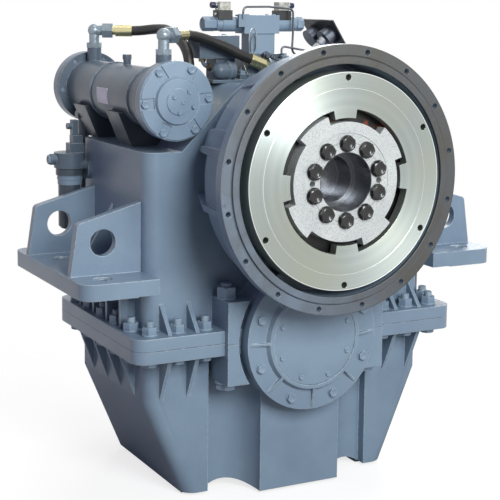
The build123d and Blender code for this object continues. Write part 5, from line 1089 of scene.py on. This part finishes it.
pipe_line = [(RETURN_X, RETURN_Y, z) for z in (146, 60, -60, -108)]
pipe_line += [(RETURN_X, RETURN_Y - 20, -122), (RETURN_X, CASING_BACK - 1, -124)]
bent_tube("return_pipe_painted_shade", pipe_line, RETURN_RADIUS, deep_painted_shade_enamel)
pipe_nuts = Rings()
hex_head(pipe_nuts, 0.044, 0.0, 0.022, facing(RETURN_X, RETURN_Y, 112, UP), on_washer=False)
hex_head(pipe_nuts, 0.044, 0.0, 0.016, facing(RETURN_X, CASING_BACK, -124, REAR), on_washer=False)
pipe_nuts.piece("return_pipe_nuts_painted_shade", deep_painted_shade_enamel, body)
print("return pipe:", round(2 * RETURN_RADIUS), "mm thick")

# %% [markdown]
# In front of the valve stands a thin wire bail, bent double, which locks a setting
# screw. Two swept wires of the same thickness make its outer and its inner loop.

# %% Wire bail
WIRE_RADIUS = 1.2

outer_loop = [(-34, 471, 318), (-36, 470.5, 335), (-37, 470, 358), (-33, 469.5, 378), (-24, 469, 387),
              (-15, 469.5, 376), (-13, 470, 355), (-12, 470.5, 340), (-12, 471, 326)]
inner_loop = [(-31, 468, 316), (-33, 467.5, 336), (-30, 467, 358), (-24, 466.5, 366), (-18, 467, 356),
              (-17, 467.5, 334), (-19, 468, 318)]
bent_tube("wire_bail", outer_loop, WIRE_RADIUS, zinc)
bent_tube("inner_wire_bail", inner_loop, WIRE_RADIUS, can_blue)
print("bail wire:", 2 * WIRE_RADIUS, "mm thick")

# %% [markdown]
# A short bent pipe leads from the pressure block down to its round-nosed valve. It is
# painted with the block, while its two nuts show old brass.

# %% Short pipe with brass nuts
NUT_FLATS = 0.018

elbow = [(-184, 470, 300), (-184, 468, 291), (-180, 462, 281), (-171, 452, 276), (-162, 442, 275)]
bent_tube("brass_pipe", elbow, 6.0, painted_shade_enamel)
fittings = Rings()
hex_head(fittings, NUT_FLATS, 0.0, 0.010, facing(-184, 470, 301, DOWN), on_washer=False)
hex_head(fittings, NUT_FLATS, 0.0, 0.012, facing(-166, 446, 275.5, (-0.6, 0.75, 0.1)), on_washer=False)
fittings.piece("brass_pipe_nuts", old_brass, body)
print("pipe nuts:", NUT_FLATS, "m over flats")

# %% [markdown]
# The valve body is closed at both ends by a turned collar with a seal groove and a
# large hexagon with a dished middle. The solid model has a plain cylinder there, so
# the detailed caps take its place. The left one is longer than the right one.

# %% End caps of the valve
VALVE_Y, VALVE_Z = 500, 396
CAP_FLATS = 0.0360

valve_caps = Rings()
for near, far, side in ((-113, -171, -1), (118, 153, 1)):
    place = facing(near, VALVE_Y, VALVE_Z, (side, 0, 0))
    long = abs(far - near) * MM
    step = 0.31 * long
    collar = [(0.0196, 0.0), (0.0196, 0.002), (0.0186, 0.003), (0.0186, 0.006), (0.0200, 0.007),
              (0.0200, step), (0.0160, step), (0.0160, step + 0.002)]
    valve_caps.add(round_rings(collar, SEGMENTS), place)
    valve_caps.add([hexagon(0.0350, step + 0.002, cone_top=step + 0.004), hexagon(CAP_FLATS, step + 0.006),
                    hexagon(CAP_FLATS, long, cone_top=long), circle(0.0170, long, SEGMENTS),
                    circle(0.0140, long, SEGMENTS), circle(0.0125, long - 0.002, SEGMENTS)], place)
caps = valve_caps.piece("valve_caps_detailed", smooth_paint, body)
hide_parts("valve_end_caps")
print("valve caps:", CAP_FLATS, "m over flats")

# %% [markdown]
# The gauges' pipes end in bright plated unions on a slanting stem. Three hexagons of
# growing size along one line give it.

# %% Unions of the gauge pipes
STEM_START = Vector((150, 430, 318))
STEM_LENGTH = 37.4
STEM_WAY = Vector((18.9, -16.0, 28.2)).normalized()

unions = Rings()
for share, flats, length in ((0.10, 0.0160, 0.012), (0.55, 0.0175, 0.020), (1.15, 0.0195, 0.020)):
    middle = STEM_START + STEM_WAY * STEM_LENGTH * share
    hex_head(unions, flats, -length / 2, length / 2, facing(*middle, STEM_WAY), on_washer=False)
unions.piece("gauge_pipe_unions", bright_nuts, body)
print("unions on a stem of", STEM_LENGTH, "mm")

# %% [markdown]
# Each clear plug on a coil lets its cable in through a gland: a bright ring and a dark
# blue cap with a hollow end. They are turned pieces that face away from the valve.

# %% Cable glands
GLAND_Z = 449.4
PLUG_HALF_WIDTH = 17

gland_rings = Rings()
gland_caps = Rings()
for plug_x, side in ((-106, -1), (85, 1)):
    place = facing(plug_x + side * PLUG_HALF_WIDTH, VALVE_Y, GLAND_Z, (side, 0, 0))
    gland_rings.add(round_rings([(0.0082, 0), (0.0086, 0.001), (0.0086, 0.007), (0.0078, 0.008)]), place)
    gland_caps.add(round_rings([(0.0078, 0.008), (0.0092, 0.010), (0.0092, 0.018), (0.0080, 0.021),
                                (0.0045, 0.0215), (0.0040, 0.0190)]), place)
gland_rings.piece("gland_rings", zinc, body)
gland_caps.piece("gland_caps", gland_navy, body)
print("glands at z =", GLAND_Z, "mm")

# %% [markdown]
# On the outer side of each coil sits a small round knob, with which the valve can be
# pushed over by hand.

# %% Knobs on the coils
KNOB_PROFILE = [(0.0035, -0.004), (0.0035, 0.002), (0.0048, 0.003), (0.0048, 0.006), (0.0030, 0.008)]

knobs = Rings()
for x, side in ((-127, -1), (106, 1)):
    knobs.add(round_rings(KNOB_PROFILE), facing(x, 494, 424, (side, -0.2, 0)))
knobs.piece("coil_knobs", zinc, body)
print("knobs: 2")

# %% [markdown]
# Behind each gauge glass lies a white dial. A place on the sloping panel is given by
# two distances from its corner, along its length and down its slope. The needle rests
# pointing down the panel, and its joint in the frame says which way round it turns.

# %% Places on the gauge panel
PANEL_CORNER = Vector((177.0, 546.0, 409.0))
SLOPE = math.radians(57.0)
PANEL_DOWN = Vector((math.cos(SLOPE), 0.0, -math.sin(SLOPE)))
PANEL_OUT = Vector((math.sin(SLOPE), 0.0, math.cos(SLOPE)))
PANEL_RIGHT = Vector((0.0, 1.0, 0.0))


def dial_place(u, v, lift):
    """A point on the panel: its own x to the right, y up the slope, z out."""
    turn = Matrix((PANEL_RIGHT, -PANEL_DOWN, PANEL_OUT)).transposed().to_4x4()
    point = PANEL_CORNER - PANEL_RIGHT * u + PANEL_DOWN * v + PANEL_OUT * lift
    return Matrix.Translation(point * MM) @ turn


def needle_way(joint_name):
    """+1 or -1: which way round the needle's joint turns, seen from in front."""
    axis = next(joint["axis"] for joint in frame["joints"] if joint["name"] == joint_name)
    return 1.0 if Vector(axis).dot(PANEL_OUT) > 0 else -1.0


print("pressure needle turns", needle_way("pressure_needle_turn"))

# %% [markdown]
# A number on a dial could be an image. A text object turned into a mesh stays sharp at
# any distance, and needs no unwrapping. The text object itself is taken away again.

# %% Digits as a mesh
def digits(text, size, place, target):
    """Adds the faces of a number to a mesh that is being built."""
    curve = bpy.data.curves.new("digits", "FONT")
    curve.body = text
    curve.size = size
    curve.align_x = "CENTER"
    curve.align_y = "CENTER"
    made = bpy.data.objects.new("digits", curve)
    bpy.context.scene.collection.objects.link(made)
    bpy.context.view_layer.update()
    mesh = bpy.data.meshes.new_from_object(made.evaluated_get(bpy.context.evaluated_depsgraph_get()))
    mesh.transform(place)
    target.from_mesh(mesh)
    bpy.data.objects.remove(made)
    bpy.data.meshes.remove(mesh)


print("digits ready")

# %% [markdown]
# The needle sweeps 270 degrees, so the scale starts where it rests and runs the same
# way. Ticks are thin bars, and every tenth is long and has a number. All marks of both
# dials are gathered in one mesh.

# %% Dials of the two gauges
SWEEP = 270
DIVISIONS = 50
TICK_OUTER = 0.0238
DIGIT_SIZE, DIGIT_REACH = 0.0052, 0.0155
INK_LIFT = Vector((0, 0, 0.0006))

discs = Rings()
disc_profile = [(0.0256, 0.0), (0.0256, 0.0003), (0.0252, 0.0005), (0.0020, 0.0005), (0.0020, 0.0)]
ink = bmesh.new()
for u, joint_name, top_value in ((48.0, "pressure_needle_turn", 25), (132.0, "temperature_needle_turn", 125)):
    place = dial_place(u, 48.0, 0.0)
    discs.add(round_rings(disc_profile, SEGMENTS), place, start_cap=False, end_cap=False)
    way = needle_way(joint_name)
    for step in range(DIVISIONS + 1):
        angle = way * math.radians(SWEEP * step / DIVISIONS)
        major = step % 10 == 0
        half = 0.0005 if major else 0.0002
        inner = 0.0192 if major else 0.0215
        out = Vector((math.sin(angle), -math.cos(angle), 0))
        across = Vector((out.y, -out.x, 0)) * half
        corners = [out * inner - across, out * TICK_OUTER - across, out * TICK_OUTER + across,
                   out * inner + across]
        ink.faces.new([ink.verts.new(place @ (corner + INK_LIFT)) for corner in corners])
        if major:
            value = str(top_value * step // DIVISIONS)
            digits(value, DIGIT_SIZE, place @ Matrix.Translation(out * DIGIT_REACH + INK_LIFT), ink)
discs.piece("dial_discs", dial_white, body)
ink_mesh = bpy.data.meshes.new("dial_scales")
ink.to_mesh(ink_mesh)
ink.free()
ink_mesh.materials.append(dial_ink)
scales = bpy.data.objects.new("dial_scales", ink_mesh)
bpy.context.scene.collection.objects.link(scales)
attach(scales, body)
print("dial scales:", len(ink_mesh.polygons), "faces")

# %% [markdown]
# The sloping panel is held by six small screws, three along each long edge.

# %% Panel screws
PANEL_THICKNESS = 4.0

panel_screws = Rings()
for u in (8.0, 90.0, 172.0):
    for v in (9.0, 95.0):
        socket_screw(panel_screws, 0.0035, 0.0025, dial_place(u, v, PANEL_THICKNESS))
panel_screws.piece("panel_screws", zinc, body)
print("panel screws: 6")

# %% [markdown]
# Oil galleries are drilled through the valve's foot from outside and closed with
# hexagon plugs. Those on top end in a short thread, those in front are plain.

# %% Plugs of the oil galleries
TOP_PLUGS = ((8, 446, 255, 0.019, 0.014), (34, 448, 255, 0.016, 0.020), (58, 430, 298, 0.022, 0.010),
             (-62, 470, 255, 0.017, 0.012), (80, 470, 255, 0.017, 0.012))
FRONT_PLUGS = ((-10, 456, 272, 0.019), (52, 404, 280, 0.017))
THREAD_END, THREAD_PITCH = 0.007, 0.0015

galleries = Rings()
for x, y, z, flats, tall in TOP_PLUGS:
    hex_head(galleries, flats, 0.0, tall, facing(x, y, z, UP))
    galleries.thread(0.3 * flats, tall, tall + THREAD_END, THREAD_PITCH, facing(x, y, z, UP))
galleries.piece("gallery_plugs", plated, body)
side_plugs = Rings()
for x, y, z, flats in FRONT_PLUGS:
    hex_head(side_plugs, flats, 0.0, 0.011, facing(x, y, z, FRONT))
side_plugs.piece("side_plugs", plated, body)
print("plugs:", len(TOP_PLUGS) + len(FRONT_PLUGS))

# %% [markdown]
# Three small taps stand in front of the valve, where its pressures can be tested. Each
# has a round neck, a hexagon and a round cap. A thin seal wire hangs down beside them.

# %% Gauge taps and seal wire
TAP_FACE_Y = 456

gauge_taps = Rings()
for x, z, flats, long in ((-20, 300, 0.018, 0.024), (4, 308, 0.020, 0.030), (30, 300, 0.018, 0.024)):
    tap = facing(x, TAP_FACE_Y, z, FRONT)
    gauge_taps.add(round_rings([(0.36 * flats, 0.0), (0.36 * flats, 0.35 * long)]), tap)
    hex_head(gauge_taps, flats, 0.35 * long, 0.75 * long, tap, on_washer=False)
    cap = [(0.40 * flats, 0.75 * long), (0.40 * flats, 0.95 * long), (0.33 * flats, long)]
    gauge_taps.add(round_rings(cap), tap)
gauge_taps.piece("gauge_taps", can_blue, body)
bent_tube("seal_wire", [(-67, 444, 294), (-66, 438, 276), (-61, 433, 259), (-53, 431, 247)], 0.9, zinc)
print("gauge taps: 3")

# %% [markdown]
# The studio is plain: a pale floor at the sump's pads and a white surround. For the
# light, the floor is an ordinary matt one, so it keeps the gearbox's shadow. Straight
# looks at it, also through clear parts, see it glow a little, and it fades into the
# white surround a few steps away, so no horizon shows. Reflections see no glow, because
# it would make the undersides of the castings too pale.

# %% Floor
FLOOR_REACH = 12.0
FLOOR_GLOW = 0.76
FADE_START, FADE_END = 0.75, 1.9
GEARBOX_MIDDLE_Y = 0.5

corners = [(x * FLOOR_REACH, y * FLOOR_REACH, 0) for x, y in ((-1, -1), (1, -1), (1, 1), (-1, 1))]
floor_mesh = bpy.data.meshes.new("studio_floor")
floor_mesh.from_pydata(corners, [], [(0, 1, 2, 3)])
floor = bpy.data.objects.new("studio_floor", floor_mesh)
floor.location.z = cad_low.z - 0.0005
bpy.context.scene.collection.objects.link(floor)
floor_paint = Finish("studio_floor_paint", (0.60, 0.60, 0.60), 0.0, 0.9)
floor_paint.give("Specular IOR Level", 0.1)
floor_tone = floor_paint.blend(floor_paint.grain(0.8), linear(0.59, 0.59, 0.595), linear(0.61, 0.61, 0.605))
floor_paint.set("Base Color", floor_tone)
ray = floor_paint.add("ShaderNodeLightPath")
seen_straight = floor_paint.math("MAXIMUM", ray.outputs["Is Camera Ray"], ray.outputs["Is Transmission Ray"])
looked_at = floor_paint.math("MAXIMUM", seen_straight, ray.outputs["Is Glossy Ray"])
floor_paint.give("Emission Color", (1.0, 1.0, 1.0, 1.0))
floor_paint.set("Emission Strength", floor_paint.math("MULTIPLY", seen_straight, FLOOR_GLOW))
flat = floor_paint.vector("MULTIPLY", floor_paint.place, (1.0, 1.0, 0.0)).outputs[0]
from_middle = floor_paint.vector("SUBTRACT", flat, (0.0, GEARBOX_MIDDLE_Y, 0.0)).outputs[0]
away = floor_paint.vector("LENGTH", from_middle).outputs["Value"]
fade = floor_paint.add("ShaderNodeMapRange", {0: away, 1: FADE_START, 2: FADE_END},
                       interpolation_type="SMOOTHSTEP").outputs[0]
floor_paint.set("Alpha", floor_paint.math("SUBTRACT", 1.0, floor_paint.math("MULTIPLY", fade, looked_at)))
floor_mesh.materials.append(floor_paint.material)
print("floor at z =", round(floor.location.z, 4))

# %% [markdown]
# The surround is white to the camera, in reflections and through clear parts, but it
# lights the gearbox only gently and slightly violet, so the castings keep their shadows.
# The kind of ray decides between the two.

# %% Surround
SKY_LIGHT = 0.145
SKY_TINT = (0.96, 0.86, 1.0, 1.0)

world = bpy.data.worlds.new("studio")
bpy.context.scene.world = world
world.use_nodes = True
sky = world.node_tree
background = sky.nodes["Background"]
path = sky.nodes.new("ShaderNodeLightPath")
seen = path.outputs["Is Camera Ray"]
for kind in ("Is Glossy Ray", "Is Transmission Ray"):
    either = sky.nodes.new("ShaderNodeMath")
    either.operation = "MAXIMUM"
    sky.links.new(seen, either.inputs[0])
    sky.links.new(path.outputs[kind], either.inputs[1])
    seen = either.outputs[0]
level = sky.nodes.new("ShaderNodeMapRange")
level.inputs[3].default_value = SKY_LIGHT
level.inputs[4].default_value = 1.0
sky.links.new(seen, level.inputs[0])
sky.links.new(level.outputs[0], background.inputs["Strength"])
tint = sky.nodes.new("ShaderNodeMix")
tint.data_type = "RGBA"
tint.inputs[6].default_value = SKY_TINT
tint.inputs[7].default_value = (1.0, 1.0, 1.0, 1.0)
sky.links.new(seen, tint.inputs[0])
sky.links.new(tint.outputs[2], background.inputs["Color"])
print("surround gives", SKY_LIGHT, "of its white as light")

# %% [markdown]
# The main lamp is large and stands in front, a little left of the middle and above the
# gearbox. A narrow strip at the right draws the bright streak on the drive ring. A weak
# violet lamp at the left keeps the flanks of the castings darker and more mauve than the
# faces towards the engine. One lamp above lights the roof, and one behind lights the
# output side, which is seen when the gearbox is turned round.

# %% Lamps
def soft_lamp(name, place, size, watts, colour=(1.0, 1.0, 1.0)):
    """A rectangular lamp that looks at the middle of the gearbox."""
    data = bpy.data.lights.new(name, "AREA")
    data.shape = "RECTANGLE"
    data.size, data.size_y = size
    data.energy = watts
    data.color = colour
    lamp = bpy.data.objects.new(name, data)
    lamp.location = place
    lamp.rotation_mode = "QUATERNION"
    lamp.rotation_quaternion = ((cad_low + cad_high) / 2 - Vector(place)).to_track_quat("-Z", "Y")
    bpy.context.scene.collection.objects.link(lamp)


soft_lamp("key_front", (-0.4, -4.4, 2.2), (1.7, 2.4), 242, (0.975, 1.0, 0.985))
soft_lamp("strip_right", (1.6, -4.4, 0.6), (0.5, 1.2), 34, (0.96, 1.0, 1.0))
soft_lamp("fill_left", (-4.4, 0.6, 1.6), (2.4, 2.4), 7, (0.70, 0.40, 1.0))
soft_lamp("top", (0.2, 0.0, 4.2), (2.2, 2.2), 44)
soft_lamp("back_right", (2.6, 3.9, 2.2), (3.0, 3.0), 150)
bpy.context.scene.view_settings.view_transform = "Standard"
print("lamps: 5")

# %% [markdown]
# The visible gearbox has to stay inside the solid model's box.
